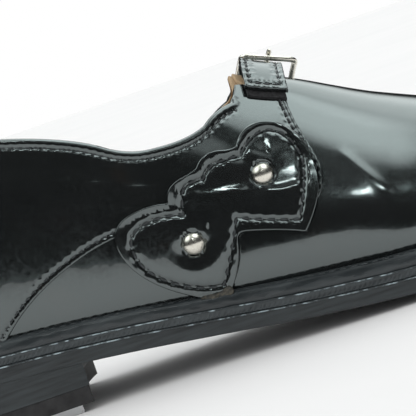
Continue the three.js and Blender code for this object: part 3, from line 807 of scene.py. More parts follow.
def margin_flare(edge_path, sewn, width, flare, puff):
    """A margin that turns up beyond its stitching, most of all high on the shoe, round a swollen middle."""
    def relief(base):
        rise = flare * (0.06 + 0.94 * eased(np.clip((base[:, 2] - 47) / 9, 0, 1)))
        to_sewn = sewn.nearest(base)[0]
        inwards = edge_path.nearest(base)[0] - to_sewn
        outward = np.clip((width - inwards) / (2 * width), 0, 1)
        inner = np.clip(inwards / width, 0, 0.8) / 0.8
        lift = np.sin(0.5 * np.pi * np.clip(1.3 * outward, 0, 1))
        return rise * lift + puff * inner * (1 - np.exp(-(to_sewn / 1.5) ** 2))

    return relief


def rolled(path, width, bulge, radius):
    """A folded top edge, padded above its stitching."""
    def relief(base):
        e = path.nearest(base)[0]
        return bulge * np.sin(np.pi * np.clip(e / width, 0, 1)) ** 1.2 - round_drop(e, radius)

    return relief


# ---------------------------------------------------------------- upper

# Outlines stop just short of the heel's back (flat coordinate) and the toe's end (share along, and x)
HEEL_TRIM = 0.4
TOE_SEAM = 0.9985
TOE_END = 239.9


def loop_of(*runs):
    """Flat runs joined into one closed loop with even steps."""
    loop = np.vstack(runs)
    keep = np.linalg.norm(loop - np.roll(loop, 1, axis=0), axis=1) > 1e-3
    return spaced(loop[keep], 0.7, closed=True)


def edge_run(side, start, end, steps=60):
    """Flat points along the foot's bottom edge, start and end given along the shoe."""
    us = np.linspace(x_to_along(start), x_to_along(end), steps)
    return to_flat(us, np.full(steps, own_angle(side, 0.0)))


def heel_run(side, top, steps=40):
    """Flat points up the middle of the heel's back, to the height of the angle given."""
    return to_flat(np.zeros(steps), own_angle(side, np.linspace(0, top, steps)))


def trimmed(flat):
    """Only the points that really lie on the foot, not behind the heel."""
    return flat[flat[:, 0] > HEEL_TRIM]


def quarter_loop(side, out):
    line = np.vstack([topline(side), TAB_REAR[1:], TAB_FRONT[1:], WING[1:]])
    line = trimmed(side_line(side, line, out))
    top = own_angle(side, line[0, 1] / STEP_AROUND)
    return loop_of(line, edge_run(side, WING_END, 0), heel_run(side, top)[1:])


def parallel(points, distance):
    """A side-view line moved to its left."""
    run = unit(np.gradient(points, axis=0))
    return points + np.stack([-run[:, 1], run[:, 0]], -1) * distance


def smoothed(points, rounds=3):
    points = points.copy()
    for _ in range(rounds):
        points[1:-1] = 0.25 * points[:-2] + 0.5 * points[1:-1] + 0.25 * points[2:]
    return points


def path_on(side, points, out):
    return Path(space_of(trimmed(side_line(side, points, out)), out))


WING_SEWN = smoothed(parallel(spaced(WING, 1.0), -1.7), 4)
FRONT_SEWN = smoothed(parallel(spaced(TAB_FRONT, 1.0), -1.6), 4)
QUARTER_CREASES = (lobes((62, 69), [(78, 62, 96, 53.6)]), lobes((60, 63), [(76, 57.4, 91, 51.6)]))
PATCH_CREASES = (lobes((95, 53.2), [(101.6, 49.2, 108, 48.4), (113.6, 48.2, 119, 45.6)]),
                 lobes((121, 45), [(127.4, 42.8, 134.4, 43)]))
FLEX_CREASE = lobes((146, 50), [(152, 40, 158, 30)])


def quarter(side, word):
    out = QUARTER[1]
    top_edge = spaced(topline(side), 1.0)
    top_sewn = smoothed(parallel(top_edge, -TOP_MARGIN), 8)
    lines = (top_edge, TAB_REAR, top_sewn, WING_SEWN, FRONT_SEWN, *QUARTER_CREASES)
    top, tab, sewn, wing, front, upper_crease, lower_crease = (path_on(side, line, out) for line in lines)
    reliefs = [ripple(0.05, 26, 3 + side), ripple(0.012, 9, 8 + side), rolled(top, TOP_MARGIN, 0.22, 1.2),
               stitched(sewn, TOP_PITCH, 0.3, 0.5, 0.035, 0.8),
               stitched(wing, WING_PITCH, 0.26, 0.5, 0.03, 0.8), stitched(front, 2.6, 0.34, 0.5, 0.07, 0.9),
               ridge(upper_crease, 0.16, 0.8, 2.4), ridge(lower_crease, 0.1, 0.8, 1.8)]

    def backing(points):
        """The leather is folded down over the lining beside the top edge and the tab."""
        gap = np.minimum(top.nearest(points)[0], tab.nearest(points)[0])
        return -2.05 * (1 - eased(np.clip((gap - 3.0) / 4.0, 0, 1)))

    _, surface = panel(f"quarter_leather_{word}", quarter_loop(side, out), QUARTER, reliefs, PATENT, "shoe",
                       (f"quarter_{word}",), step=1.4, fine=(0.55, 2.4, [sewn, wing, front]),
                       backing=backing)
    rows = {"topline": (TOP_PITCH, [top_sewn[top_sewn[:, 0] > TOP_ROW_START]]),
            "wing": (WING_PITCH, [WING_SEWN, FRONT_SEWN])}
    for name, (pitch, runs) in rows.items():
        flat = [(side_line(side, run, out), False) for run in runs]
        stitches(f"{name}_stitches_{word}", surface, flat, pitch, 0.24, UPPER_THREAD, "shoe")


def wall_swell(base):
    """The vamp's sides stand a little steeper beside the ball of the foot."""
    along = np.clip(1 - ((base[:, 0] - 136) / 34) ** 2, 0, None) ** 2
    return 1.1 * along * np.exp(-((base[:, 2] - 32) / 9) ** 2)


def vamp():
    out = VAMP[1]
    back = lobes((133, 60), [(135.4, 52, 134.6, 47), (132, 43.4, 128, 42)])
    under = lobes((128, 42), [(120, 39, 104, 45.4), (92, 51.6, 77, 50.8), (62, 49, 50, 45),
                              (38, 38, 29, 24)])
    inner, outer = (side_line(side, np.vstack([back, under[1:]]), out)[:-1] for side, _ in SIDES)
    top = x_to_along(134.6) * STEP_ALONG
    over = np.stack([np.full(30, top), np.linspace(outer[0, 1], inner[0, 1], 30)], -1)
    toe = to_flat(np.full(60, TOE_SEAM), np.linspace(0, np.pi, 60))
    loop = loop_of(inner, edge_run(-1, 29, TOE_END, 160), toe, edge_run(1, TOE_END, 29, 160),
                   outer[::-1], over[1:-1])
    reliefs = [ripple(0.05, 30, 21), ripple(0.014, 10, 5), wall_swell]
    for side, _ in SIDES:
        reliefs.append(ridge(path_on(side, FLEX_CREASE, out), 0.2, 1.8, 1.8))
    panel("vamp_leather", loop, VAMP, reliefs, PATENT, "shoe", ("vamp",), step=1.5)


def upper_lean(base):
    """The patch's upper lobe stands a little steeper than the foot under it."""
    high = np.clip(base[:, 2] - 48.5, 0, None)
    return 0.12 * high * high / (high + 2)


def side_patch(side, word):
    out = PATCH[1]
    outline, sewn_outline = (spaced(line, 0.5)[::-side] for line in (PATCH_EDGE, PATCH_STITCH))
    loop = spaced(side_line(side, outline[:-1], out), 0.45, closed=True)
    sewn_flat = side_line(side, sewn_outline[:-1], out)
    edge_path, sewn = (Path(space_of(line, out), True) for line in (loop, sewn_flat))
    rear, front = (path_on(side, line, out) for line in PATCH_CREASES)
    reliefs = [ripple(0.014, 20, 11 + side), margin_flare(edge_path, sewn, 2.8, 0.85, 0.3),
               stitched(sewn, PATCH_PITCH, 0.42, 0.7, 0.05, 1.1), ridge(rear, 0.5, 1.55, 3.2),
               ridge(front, 0.36, 1.3, 3.0), upper_lean]
    for which in RIVETS:
        reliefs.append(dimple(skin(*rivet_place(which, side), out), *DIMPLES[which]))
        rivet(which, side, word)
    _, surface = panel(f"patch_leather_{word}", loop, PATCH, reliefs, PATENT, "shoe",
                       (f"side_patch_{word}",), step=0.9, fine=(0.32, 2.2, [sewn]), edge=0.4)
    stitches(f"patch_stitches_{word}", surface, [(sewn_flat, True)], PATCH_PITCH, 0.36, UPPER_THREAD, "shoe",
             height=0.1)


def rivet(which, side, word):
    """A domed stud with a small flat rim."""
    u, angle = rivet_place(which, side)
    radius, rise, rim = 3.28, 2.0, 0.42
    ball = (radius ** 2 + rise ** 2) / (2 * rise)
    low = math.asin(radius / ball)
    profile = [(radius - 0.5, -0.4), (radius, -0.3), (radius + 0.02, 0.35)]
    for i in range(1, 16):
        turn = low * (1 - i / 16)
        profile.append((ball * math.sin(turn), rim + rise - ball * (1 - math.cos(turn))))
    profile.append((0.05, rim + rise))
    points, faces = turned(profile, skin(u, angle, PATCH[1] - 0.6), foot_normal(u, angle), 48)
    make_object(f"stud_{which}_{word}", points, faces, BRIGHT, "shoe",
                (f"rivet_cap_{which}_{word}", f"rivet_washer_{which}_{word}"))


def glue_trace(side, word):
    """Dried glue where the patch's low tip meets the welt."""
    out = PATCH[1] + 0.5
    outline = lobes((94.2, 20.6), [(96.6, 18.6, 99.6, 19), (103.4, 18, 104.2, 19.6),
                                   (104.4, 21.6, 102.8, 21.8), (100.4, 20.4, 98.4, 20.8),
                                   (95, 21.4, 94.2, 20.6)])
    loop = spaced(side_line(side, outline[:-1], out), 0.4, closed=True)
    panel(f"glue_trace_{word}", loop, (PATCH[1], out), [ripple(0.16, 2.2, 61)], GLUE, "shoe",
          step=0.4, edge=0.3)


# ---------------------------------------------------------------- sole

# About the length of the sole's edge on one side
EDGE_RUN = 330.0
# Profile points deeper in than CORE_FROM keep their distance from the foot's edge, not from the sole's
CORE_FROM = 3.8
CORE_MARGIN = 8.0
# Depths between which the midsole's edge has teeth
TEETH = (4.3, 5.9)
TOOTH_PITCH = 1.5


def plan_edge(side, margin, us):
    """Plan points a margin outside the foot's bottom edge."""
    angle = own_angle(side, 0.0)
    here = foot(us, angle)
    run = foot(np.clip(us + 1e-3, 0, 1), angle) - foot(np.clip(us - 1e-3, 0, 1), angle)
    out = unit(np.stack([-side * run[:, 1], side * run[:, 0]], -1))
    out[us < 1e-6] = (-1, 0)
    out[us > 1 - 1e-6] = (1, 0)
    return here[:, :2] + out * margin(here[:, 0])[:, None]


def even_along(side, margin, step, start=0.0, end=1.0):
    """Values along the foot that give evenly spaced points on an edge line, and its length there."""
    us = start + (end - start) * (1 - np.cos(np.pi * np.linspace(0, 1, 1500))) / 2
    lengths = run_lengths(plan_edge(side, margin, us))
    wanted = np.linspace(0, lengths[-1], int(lengths[-1] / step) + 1)
    return np.interp(wanted, lengths, us), wanted


def resampled(values, count):
    return np.interp(np.linspace(0, 1, count + 1), np.linspace(0, 1, len(values)), values)


def level(value):
    """The same value all along the shoe."""
    return lambda x: np.full_like(x, value)


def inset_by(inset):
    """The margin of a line that stays inside the sole's edge."""
    return lambda x: sole_margin(x) - inset


def below_edge(depth):
    """The height of a face that follows the foot's edge."""
    return lambda x: edge_height(x) - depth


def at_depth(flat, depth):
    return np.column_stack([flat, below_edge(depth)(flat[:, 0])])


def sole_band(name, profile, look, replaced, step, wobble, full=True):
    """A layer of the sole: (inset, depth) points carried round the edge of the foot.

    Insets are counted inwards from the sole's edge; a full layer is closed across, a ring is hollow."""
    count = int(EDGE_RUN / step)
    bands = []
    for side, _ in SIDES:
        us, lengths = (resampled(run, count) for run in even_along(side, sole_margin, EDGE_RUN / count))
        rows = []
        for inset, depth in profile:
            edge = inset_by(inset - wobble(side * lengths, depth))
            margin = level(CORE_MARGIN - inset) if inset > CORE_FROM else edge
            rows.append(at_depth(plan_edge(side, margin, us), depth))
        bands.append(np.stack(rows, 1))
    m = len(profile)
    faces = []

    def at(s, i, k):
        return (s * (count + 1) + i) * m + k % m

    for i in range(count):
        for k in range(m - 1 if full else m):
            faces.append([at(0, i, k), at(0, i, k + 1), at(0, i + 1, k + 1), at(0, i + 1, k)])
            faces.append([at(1, i, k), at(1, i + 1, k), at(1, i + 1, k + 1), at(1, i, k + 1)])
        if full:
            faces.append([at(0, i, 0), at(0, i + 1, 0), at(1, i + 1, 0), at(1, i, 0)])
            faces.append([at(0, i, m - 1), at(1, i, m - 1), at(1, i + 1, m - 1), at(0, i + 1, m - 1)])
    weld(make_object(name, np.vstack(bands).reshape(-1, 3), faces, look, "shoe", replaced))


def slab(name, margin, heights, ends, bows, look, replaced, columns=10, rows=70, bevel=0.3):
    """A plate under the foot: its top and bottom heights, and how far its two ends bow along the shoe."""
    edges = []
    for side, _ in SIDES:
        us, _ = even_along(side, margin, 1.0, *x_to_along(ends))
        edges.append(plan_edge(side, margin, resampled(us, rows))[:, None])
    t = np.linspace(0, 1, rows + 1)
    across = np.linspace(0, 1, columns + 1)
    plan = edges[0] * (1 - across[None, :, None]) + edges[1] * across[None, :, None]
    for bow, way in zip(bows, (t, 1 - t)):
        plan[:, :, 0] += bow * np.clip(1 - way / 0.25, 0, 1)[:, None] * 4 * across * (1 - across)
    points = np.vstack([np.dstack([plan, height(plan[:, :, 0])]).reshape(-1, 3) for height in heights])
    obj = make_object(name, points, plate_faces(rows, columns), look, "shoe", replaced)
    weld(obj)
    if bevel:
        round_off = obj.modifiers.new("edge", "BEVEL")
        round_off.width = bevel * 0.001
        round_off.segments = 2
        round_off.limit_method = "ANGLE"
        round_off.angle_limit = math.radians(45)
        round_off.harden_normals = True


def knurl(lengths, depth):
    """Slanting teeth rolled into the middle of the midsole's edge."""
    if not TEETH[0] < depth < TEETH[1]:
        return np.zeros(len(lengths))
    phase = 2 * np.pi * (lengths - 0.9 * depth + 0.2 * np.sin(0.8 * lengths)) / TOOTH_PITCH
    return 0.42 * (np.abs(np.sin(phase / 2)) ** 0.6 - 0.8)


def uneven(lengths, depth):
    return 0.05 * np.sin(lengths * 0.9 + depth) + 0.04 * np.sin(lengths * 0.37 + 2 * depth + 1)


def bead(depth, radius, proud):
    """Profile points of a round bead that stands out of the edge."""
    turns = np.linspace(0, np.pi, 9)
    return [(radius - proud - radius * math.sin(t), depth - radius * math.cos(t)) for t in turns]


def soles():
    sole_band("welt_ring", [(4.4, -0.9), (4.0, -1.3), (2.6, -1.15), (1.5, -0.85), (0.8, -0.35), (0.42, 0.3),
                            (0.28, 1.1), (0.24, 2.0), (0.3, 2.7), (0.45, 3.1), (0.7, 3.2), (4.0, 3.2),
                            (4.4, 2.8)], WELT_LOOK, ("welt",), 0.9, uneven, full=False)
    teeth = [(0.1, depth) for depth in (3.95, 4.35, 4.7, 5.05, 5.4, 5.75)]
    sole_band("midsole_layer", [(3.0, 3.25), (0.35, 3.25)] + bead(3.42, 0.28, 0.25) + teeth
              + [(0.5, 6.1), (3.0, 6.1)], MIDSOLE_LOOK, ("midsole", "shank"), 0.34, knurl)
    sole_band("outsole_layer", [(3.0, 6.15), (0.35, 6.15)] + bead(6.35, 0.32, 0.35)
              + [(-0.02, 7.0), (0.02, 8.2), (-0.02, 9.6), (0.1, 10.5), (0.5, 11.0), (3.0, 11.0)],
              OUTSOLE_LOOK, ("outsole",), 1.2, uneven)
    slab("heel_stack", inset_by(0.5), (below_edge(11.05), level(7.55)), (0, 55), (0, -3.5),
         OUTSOLE_LOOK, ("heel_block",))
    slab("heel_rubber_lift", inset_by(0.7), (level(7.45), level(2.45)), (0, 54.8), (0, -3.5),
         RUBBER, ("heel_lift",))
    slab("heel_tap_plate", inset_by(1.9), (level(2.35), level(0)), (0, 51), (0, -3.5),
         TAP_METAL, ("heel_tap",), bevel=0.5)
    slab("toe_tap_plate", inset_by(1.4), (below_edge(11.1), below_edge(13.5)), (182, 240), (7.5, 0),
         TAP_METAL, ("toe_tap",), columns=16, rows=80, bevel=0.5)
    slab("sock_liner_pad", level(-0.5), (below_edge(-0.6), below_edge(0.8)), (0, 240), (0, 0),
         LINING_LOOK, ("sock_liner",), rows=120, bevel=0)


def painted_glint_ridges():
    """The two ridges between the layers of the sole, with pale glints of light painted on them."""
    rows = (("welt_ridge", 3.42, -0.14, 0.2), ("midsole_ridge", 6.35, -0.24, 0.22))
    for name, depth, inset, radius in rows:
        runs = []
        for side, _ in SIDES:
            us, _ = even_along(side, sole_margin, 1.2)
            runs.append(at_depth(plan_edge(side, inset_by(inset), us), depth))
        line = np.vstack([runs[0], runs[1][::-1][1:-1]])
        # the ridges' pale streaks are a painted highlight
        make_object(name, *tube(line, radius, closed=True, ups=(0, 0, 1)), PAINTED_GLINT, "shoe")


def welt_stitches():
    t = np.linspace(0, 1, 7)
    rise = 0.02 * np.sin(np.pi * t) ** 0.6 - 0.26 * (1 - np.sin(np.pi * t) ** 0.5)
    radius = 0.28 * (0.75 + 0.25 * np.sin(np.pi * t))
    parts = []
    for side, _ in SIDES:
        us, lengths = even_along(side, inset_by(1.9), 0.4)
        line = at_depth(plan_edge(side, inset_by(1.9), us), -0.86)
        count = int(lengths[-1] / WELT_PITCH)
        for i in range(count):
            at = (i + 0.5 + (t - 0.5) * 0.76) * lengths[-1] / count
            centre = at_lengths(at, lengths, line)
            centre[:, 2] += rise
            parts.append(tube(centre, radius))
    make_object("welt_stitches", *joined(parts), SOLE_THREAD, "shoe")


# ---------------------------------------------------------------- lining and tongue

LINING_CUT = 100.0


def wall_run(side, at, height):
    """Flat points up from the edge to a height, at one place along the shoe."""
    up = np.linspace(own_angle(side, 0.0) * STEP_AROUND, height, 50)[1:-1]
    return np.stack([np.full(len(up), at), up], -1)


def lining_rear(side, word):
    top = spaced(topline(side) - (0, LINING_LOWER), 1.0)
    end = np.interp(LINING_CUT, *topline(side).T) - LINING_LOWER
    top = np.vstack([top[top[:, 0] < LINING_CUT], [(LINING_CUT, end)]])
    line = trimmed(side_line(side, top, LINING[1]))
    start = own_angle(side, line[0, 1] / STEP_AROUND)
    at, height = line[-1]
    loop = loop_of(line, wall_run(side, at, height)[::-1], edge_run(side, along_to_x(at / STEP_ALONG), 0),
                   heel_run(side, start)[1:])
    panel(f"lining_rear_{word}", loop, LINING, [], LINING_LOOK, "shoe", ("lining_rear", "heel_counter"),
          step=2.2, edge=0.3)


def lining_front():
    runs = []
    for side, _ in SIDES:
        top = spaced(np.vstack([topline(side), [(123.4, 74.0), (123.8, 76.6)]]) - (0, LINING_LOWER), 1.0)
        runs.append(side_line(side, top[top[:, 0] > LINING_CUT + 0.3], LINING[1]))
    begin = along_to_x(runs[0][0, 0] / STEP_ALONG)
    walls = [wall_run(side, *run[0]) for (side, _), run in zip(SIDES, runs)]
    over = np.linspace(runs[0][-1], runs[1][-1], 40)[1:-1]
    toe = to_flat(np.full(60, TOE_SEAM), np.linspace(np.pi, 0, 60))
    loop = loop_of(walls[0], runs[0], over, runs[1][::-1], walls[1][::-1], edge_run(1, begin, TOE_END, 120),
                   toe, edge_run(-1, TOE_END, begin, 120))
    panel("lining_front_part", loop, LINING, [], LINING_LOOK, "shoe", ("lining_front", "toe_puff"),
          step=2.4, edge=0.3)


def tongue():
    """A soft piece under the gap between the two tabs."""
    top = 0.5 * np.pi * STEP_AROUND
    back, front = x_to_along((124.6, 157)) * STEP_ALONG
    loop = lobes((back, top - 14), [(back - 1.2, top, back, top + 14), (back + 2, top + 30, front, top + 30),
                                    (front + 2, top, front, top - 30), (back + 2, top - 30, back, top - 14)],
                 24)
    panel("tongue_piece", spaced(loop[:-1], 0.7, True), TONGUE, [ripple(0.05, 14, 31)], LINING_LOOK, "shoe",
          ("tongue",), step=1.4, edge=0.35)


def back_strip():
    """The strip over the seam at the back of the heel."""
    rows, columns, half = 90, 22, 6.2
    # Millimetres for one unit along the foot, and for one radian, at the heel
    mm_along, mm_up = 162, 95
    angles = np.linspace(0.02, 0.715, rows + 1)
    across = np.linspace(-1, 1, columns + 1)
    u, angle = np.meshgrid(np.abs(across) * half / mm_along, angles)
    angle = np.where(across < 0, angle, np.pi - angle)
    to_side = (1 - np.abs(across)) * half
    to_end = np.minimum(angles - angles[0], angles[-1] - angles) * mm_up
    gap = np.minimum(*np.meshgrid(to_side, to_end))
    height = PATCH[1] - round_drop(gap, 0.5) - 0.28 * np.exp(-((gap - 1.7) / 0.5) ** 2)
    points = [skin(u, angle, out).reshape(-1, 3) for out in (height, PATCH[0] - 0.3)]
    weld(make_object("heel_back_strip", np.vstack(points), plate_faces(rows, columns), PATENT, "shoe",
                     ("back_strip",)))


# ---------------------------------------------------------------- strap and buckle

STRAP_MIDDLE = 131.3
STRAP_HALF = 6.2
STRAP_ROOT = -17.0
STRAP_TIP = 32.0
BUCKLE_MIDDLE = 13.5
BUCKLE_LENGTH = 15.0
BUCKLE_WIDTH = 16.6
BUCKLE_ROD = 0.9
BAR_HEIGHT = 9.75
BUCKLE_ARCH = 0.9
BAR_ROUND = BUCKLE_MIDDLE + BUCKLE_LENGTH / 2
FAR_ROUND = BUCKLE_MIDDLE - BUCKLE_LENGTH / 2
# The strap's length is counted round the instep from its ridge, for half of this turn each way
INSTEP_TURN = 1.8
INSTEP_STEPS = 360


def instep_table():
    """Distance round the instep from the ridge against angle."""
    count = INSTEP_STEPS + 1
    angles = np.pi / 2 + np.linspace(-INSTEP_TURN / 2, INSTEP_TURN / 2, count)
    lengths = run_lengths(skin(np.full(count, x_to_along(STRAP_MIDDLE)), angles, np.full(count, 6.0)))
    return lengths - lengths[INSTEP_STEPS // 2], angles


INSTEP = instep_table()


def strap_flat(across, round_to):
    """Flat points given along the shoe from the strap's middle, and round the instep from its ridge."""
    angle = np.interp(round_to, *INSTEP)
    return to_flat(x_to_along(STRAP_MIDDLE + np.asarray(across, float)), angle)


def strap_space(across, round_to, out):
    flat = strap_flat(np.atleast_1d(across), np.atleast_1d(round_to))
    u, angle = from_flat(flat)
    return skin(u, angle, np.full(len(flat), float(out)))[0]


def strap_outline(start, end, half, point=5.0):
    """Flat outline of a band with a rounded tip."""
    s = np.linspace(start, end - point, 60)
    one = strap_flat(np.full(60, half), s)
    turn = np.linspace(0, np.pi, 40)
    tip = strap_flat(half * np.cos(turn), end - point + point * np.sin(turn))
    two = strap_flat(np.full(60, -half), s[::-1])
    root = strap_flat(np.linspace(-half, half, 12)[1:-1], np.full(10, start))
    return spaced(np.vstack([one, tip[1:-1], two, root]), 0.6, True)


def sewn_band(name, layer, outline, sewn_outline, waves, sewing, replaced, step, fine, edge):
    """A stitched piece of the strap; sewing is the pitch, the valley's depth and width, and the thread."""
    pitch, depth, width, thread = sewing
    sewn_loop = strap_outline(*sewn_outline)
    sewn = Path(space_of(sewn_loop, layer[1]), True)
    _, surface = panel(name, strap_outline(*outline), layer, waves + [stitched(sewn, pitch, depth, width)],
                       PATENT, "strap", replaced, step=step, fine=(*fine, [sewn]), edge=edge)
    stitches(name.split("_")[0] + "_stitches", surface, [(sewn_loop, True)], pitch, thread, UPPER_THREAD,
             "strap")


def strap():
    sewn_band("strap_band", STRAP, (STRAP_ROOT, STRAP_TIP, STRAP_HALF),
              (STRAP_ROOT + 1.8, STRAP_TIP - 1.8, STRAP_HALF - 1.8, 3.6), [ripple(0.04, 16, 41)],
              (STRAP_PITCH, 0.26, 0.5, 0.23), ("strap",), 1.0, (0.55, 1.8), 0.5)
    for name, node, layer, body in (("hook_patch", "strap_hook_patch", HOOK_PATCH, "strap"),
                                    ("loop_patch", "quarter_loop_patch", LOOP_PATCH, "shoe")):
        panel(name, strap_outline(11, 25, 4.8, 1.5), layer, [], TEXTILE, body, (node,), step=1.2, edge=0.2)
    loop = strap_outline(STRAP_ROOT - 2, -8, STRAP_HALF - 0.6, 1.0)
    obj, _ = panel("elastic_root", loop, ELASTIC, [], TEXTILE, None, ("strap_elastic",), step=1.0, edge=0.2)
    start, end = (tuple(to_frame(strap_space(0, at, 5))) for at in (STRAP_ROOT + 1.5, -9))
    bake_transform(obj)
    sewn_band("chape_tail", CHAPE, (BAR_ROUND + 0.9, STRAP_TIP - 1.5, 4.7, 3.8),
              (BAR_ROUND + 2.6, STRAP_TIP - 2.9, 3.4, 2.6), [],
              (CHAPE_PITCH, 0.2, 0.45, 0.2), ("strap_chape",), 0.9, (0.5, 1.6), 0.45)


def buckle_axes():
    at = strap_space(0, BAR_ROUND, BAR_HEIGHT)
    along = unit(strap_space(6, BAR_ROUND, BAR_HEIGHT) - strap_space(-6, BAR_ROUND, BAR_HEIGHT))
    span = strap_space(0, FAR_ROUND, BAR_HEIGHT) - at
    out = unit(np.cross(span, along))
    across = unit(np.cross(along, out))
    return at, along, across, out, float(span @ across)


BUCKLE = buckle_axes()


def buckle_point(along_by, across_by, out_by):
    at, along, across, out, reach = BUCKLE
    way = np.clip(across_by / reach, 0, 1)
    arch = 4 * BUCKLE_ARCH * way * (1 - way)
    return at + along * along_by + across * across_by + out * (out_by + arch)


def buckle_rim():
    """A round rod bent into a rectangle with round corners."""
    reach = BUCKLE[4]
    half, corner = BUCKLE_WIDTH / 2, 2.2
    corners = [(half - corner, reach - corner), (-half + corner, reach - corner),
               (-half + corner, corner), (half - corner, corner)]
    path = []
    for quarter_turn, (cx, cy) in enumerate(corners):
        for step in np.linspace(0, 1, 9):
            turn = (quarter_turn + step) * np.pi / 2
            path.append((cx + corner * math.cos(turn), cy + corner * math.sin(turn)))
    line = np.array([buckle_point(x, y, 0) for x, y in spaced(path, 0.6, True)])
    rod = tube(line, BUCKLE_ROD, 16, closed=True, ups=BUCKLE[3])
    make_object("buckle_rim", *rod, BRIGHT, "buckle_frame", ("buckle_frame",))


def buckle_pin():
    """The prong, with its eye round the bar."""
    reach = BUCKLE[4]
    run = np.array([buckle_point(0, t, 1.55 + 0.4 * t / reach) for t in np.linspace(0.2, reach + 1.8, 30)])
    radius = 0.75 * np.sqrt(np.clip(np.linspace(1.0, 0, 30) / 0.06, 0.2, 1))
    parts = [tube(run, radius, 14, ups=BUCKLE[1]), collar(-0.95, 0.95, BUCKLE_ROD + 0.2, BUCKLE_ROD + 1.1)]
    obj = make_object("buckle_pin", *joined(parts), BRIGHT, "buckle_prong", ("buckle_prong",))
    obj.data.set_sharp_from_angle(angle=math.radians(50))


def chape_loops():
    """The two loops of leather that hold the bar."""
    ends = ((-5.0, -1.5), (1.5, 5.0))
    loops = [collar(start, end, BUCKLE_ROD + 0.12, BUCKLE_ROD + 1.05) for start, end in ends]
    obj = make_object("chape_loops", *joined(loops), PATENT, "strap")
    obj.data.set_sharp_from_angle(angle=math.radians(50))


def collar(start, end, inner, outer):
    """A ring round the buckle's bar, with small chamfers."""
    e = 0.18
    profile = [(inner, start + e), (inner + e, start), (outer - e, start), (outer, start + e),
               (outer, end - e), (outer - e, end), (inner + e, end), (inner, end - e), (inner, start + e)]
    return turned(profile, BUCKLE[0], BUCKLE[1], 32)


def paint_cad_nodes():
    """Looks for the pieces that stay as the CAD has them."""
    for name, node in frame["nodes"].items():
        material, slot = STEEL if "screw" in name else BOARD
        node.data.materials.clear()
        node.data.materials.append(material)


for side, word in SIDES:
    quarter(side, word)
    side_patch(side, word)
    lining_rear(side, word)
glue_trace(*SIDES[0])
for build in (vamp, soles, painted_glint_ridges, welt_stitches, lining_front, tongue, back_strip, strap, buckle_rim,
              buckle_pin, chape_loops, paint_cad_nodes):
    build()


# ---------------------------------------------------------------- floor, light and camera

CAMERA_RISE = math.radians(4)
CAMERA_ROLL = math.radians(19)
CAMERA_AWAY = 0.8
VIEW_WIDTH = 0.12235
VIEW_CENTRE = (69.0, -31.5, 22.0)
VIEW_SHIFT = (0.88, 25.0)
FLOOR_HALF = 4.0


def floor():
    mesh = bpy.data.meshes.new("floor")
    size = FLOOR_HALF
    mesh.from_pydata([(-size, -size, 0), (size, -size, 0), (size, size, 0), (-size, size, 0)], [],
                     [[0, 1, 2, 3]])
    obj = bpy.data.objects.new("floor", mesh)
    bpy.context.scene.collection.objects.link(obj)
    stops = [(0.3, (0.90, 0.905, 0.905)), (0.7, (0.93, 0.93, 0.93))]
    mesh.materials.append(textured("pale_floor", (8, 3), stops, 0.7)[0])


# Soft lights seen in the gloss: azimuth from the -Y side towards +X, elevation, radius where it starts
# to fade, radius where it is gone (degrees), and strength
SOFT_LIGHTS = [(5, 49, 0.8, 3.3, 9.0), (10, 49.5, 0.8, 3.3, 9.0), (27, 38, 3, 9.5, 0.6),
               (76, 62, 8, 24, 2.3), (-75, 55, 8, 28, 1.6), (150, 50, 10, 34, 1.8), (-140, 55, 10, 34, 1.6)]
# The sky's glow in the gloss, from level with the floor (0) to straight up (1)
SKY = [(0.0, 0.014), (0.2, 0.016), (0.36, 0.03), (0.52, 0.06), (0.66, 0.1), (0.76, 0.26), (1.0, 0.4)]


def combined(tree, kind, sources, operation=None):
    """A node whose inputs are, in order, linked to sockets or set to values; gives its first output."""
    node = tree.nodes.new(kind)
    if operation:
        node.operation = operation
    for entry, source in zip(node.inputs, sources):
        if isinstance(source, bpy.types.NodeSocket):
            tree.links.new(source, entry)
        else:
            entry.default_value = source
    return node.outputs[0]


def glow(tree, direction, total, azimuth, elevation, inner, outer, strength):
    """Adds a round soft light in one direction."""
    az, el = math.radians(azimuth), math.radians(elevation)
    towards = (math.sin(az) * math.cos(el), -math.cos(az) * math.cos(el), math.sin(el))
    dot = tree.nodes.new("ShaderNodeVectorMath")
    dot.operation = "DOT_PRODUCT"
    tree.links.new(direction, dot.inputs[0])
    dot.inputs[1].default_value = towards
    fade = add(tree, "ShaderNodeMapRange", From_Min=math.cos(math.radians(outer)),
               From_Max=math.cos(math.radians(inner)), To_Max=strength)
    fade.interpolation_type = "SMOOTHSTEP"
    tree.links.new(dot.outputs["Value"], fade.inputs["Value"])
    return combined(tree, "ShaderNodeMath", (total, fade.outputs["Result"]))


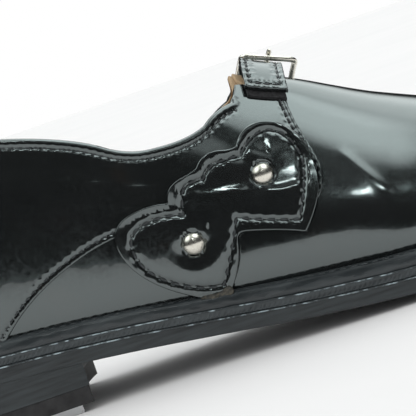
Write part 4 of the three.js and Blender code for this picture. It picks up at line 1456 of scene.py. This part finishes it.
def world():
    """White for the camera, soft and even for matt surfaces, and dark with soft lights for glossy ones."""
    made = bpy.data.worlds.new("studio")
    bpy.context.scene.world = made
    made.use_nodes = True
    tree = made.node_tree
    tree.nodes.clear()
    direction = tree.nodes.new("ShaderNodeTexCoord").outputs["Generated"]
    parts = tree.nodes.new("ShaderNodeSeparateXYZ")
    tree.links.new(direction, parts.inputs["Vector"])
    rise = combined(tree, "ShaderNodeMath", (parts.outputs["Z"],), "ARCSINE")
    share = combined(tree, "ShaderNodeMath", (rise, math.pi / 2), "DIVIDE")
    total = grey_ramp(tree, share, SKY)
    for light in SOFT_LIGHTS:
        total = glow(tree, direction, total, *light)
    ray = tree.nodes.new("ShaderNodeLightPath").outputs
    glossy = combined(tree, "ShaderNodeBackground", ((0.93, 1.0, 0.99, 1), total))
    even = combined(tree, "ShaderNodeBackground", ((1, 1, 1, 1), 1.06))
    white = combined(tree, "ShaderNodeBackground", ((1, 1, 1, 1), 1.0))
    seen = combined(tree, "ShaderNodeMixShader", (ray["Is Glossy Ray"], even, glossy))
    seen = combined(tree, "ShaderNodeMixShader", (ray["Is Camera Ray"], seen, white))
    out = tree.nodes.new("ShaderNodeOutputWorld")
    tree.links.new(seen, out.inputs["Surface"])


def camera():
    """A long view of the inner side, rolled about its own axis as in the photo."""
    right, up = np.array([1.0, 0, 0]), np.array([0, math.sin(CAMERA_RISE), math.cos(CAMERA_RISE)])
    forward = np.array([0, math.cos(CAMERA_RISE), -math.sin(CAMERA_RISE)])
    across = math.cos(CAMERA_ROLL) * right - math.sin(CAMERA_ROLL) * up
    upward = math.sin(CAMERA_ROLL) * right + math.cos(CAMERA_ROLL) * up
    target = (np.array(VIEW_CENTRE) + VIEW_SHIFT[0] * across + VIEW_SHIFT[1] * upward) * 0.001
    place = target - forward * CAMERA_AWAY
    data = bpy.data.cameras.new("camera")
    data.sensor_width = 36
    data.lens = 36 * CAMERA_AWAY / VIEW_WIDTH
    obj = bpy.data.objects.new("camera", data)
    bpy.context.scene.collection.objects.link(obj)
    obj.matrix_world = Matrix([[across[i], upward[i], -forward[i], place[i]] for i in range(3)]
                              + [[0, 0, 0, 1]])
    bpy.context.scene.camera = obj


floor()
world()
camera()
bpy.context.scene.view_settings.view_transform = "Standard"
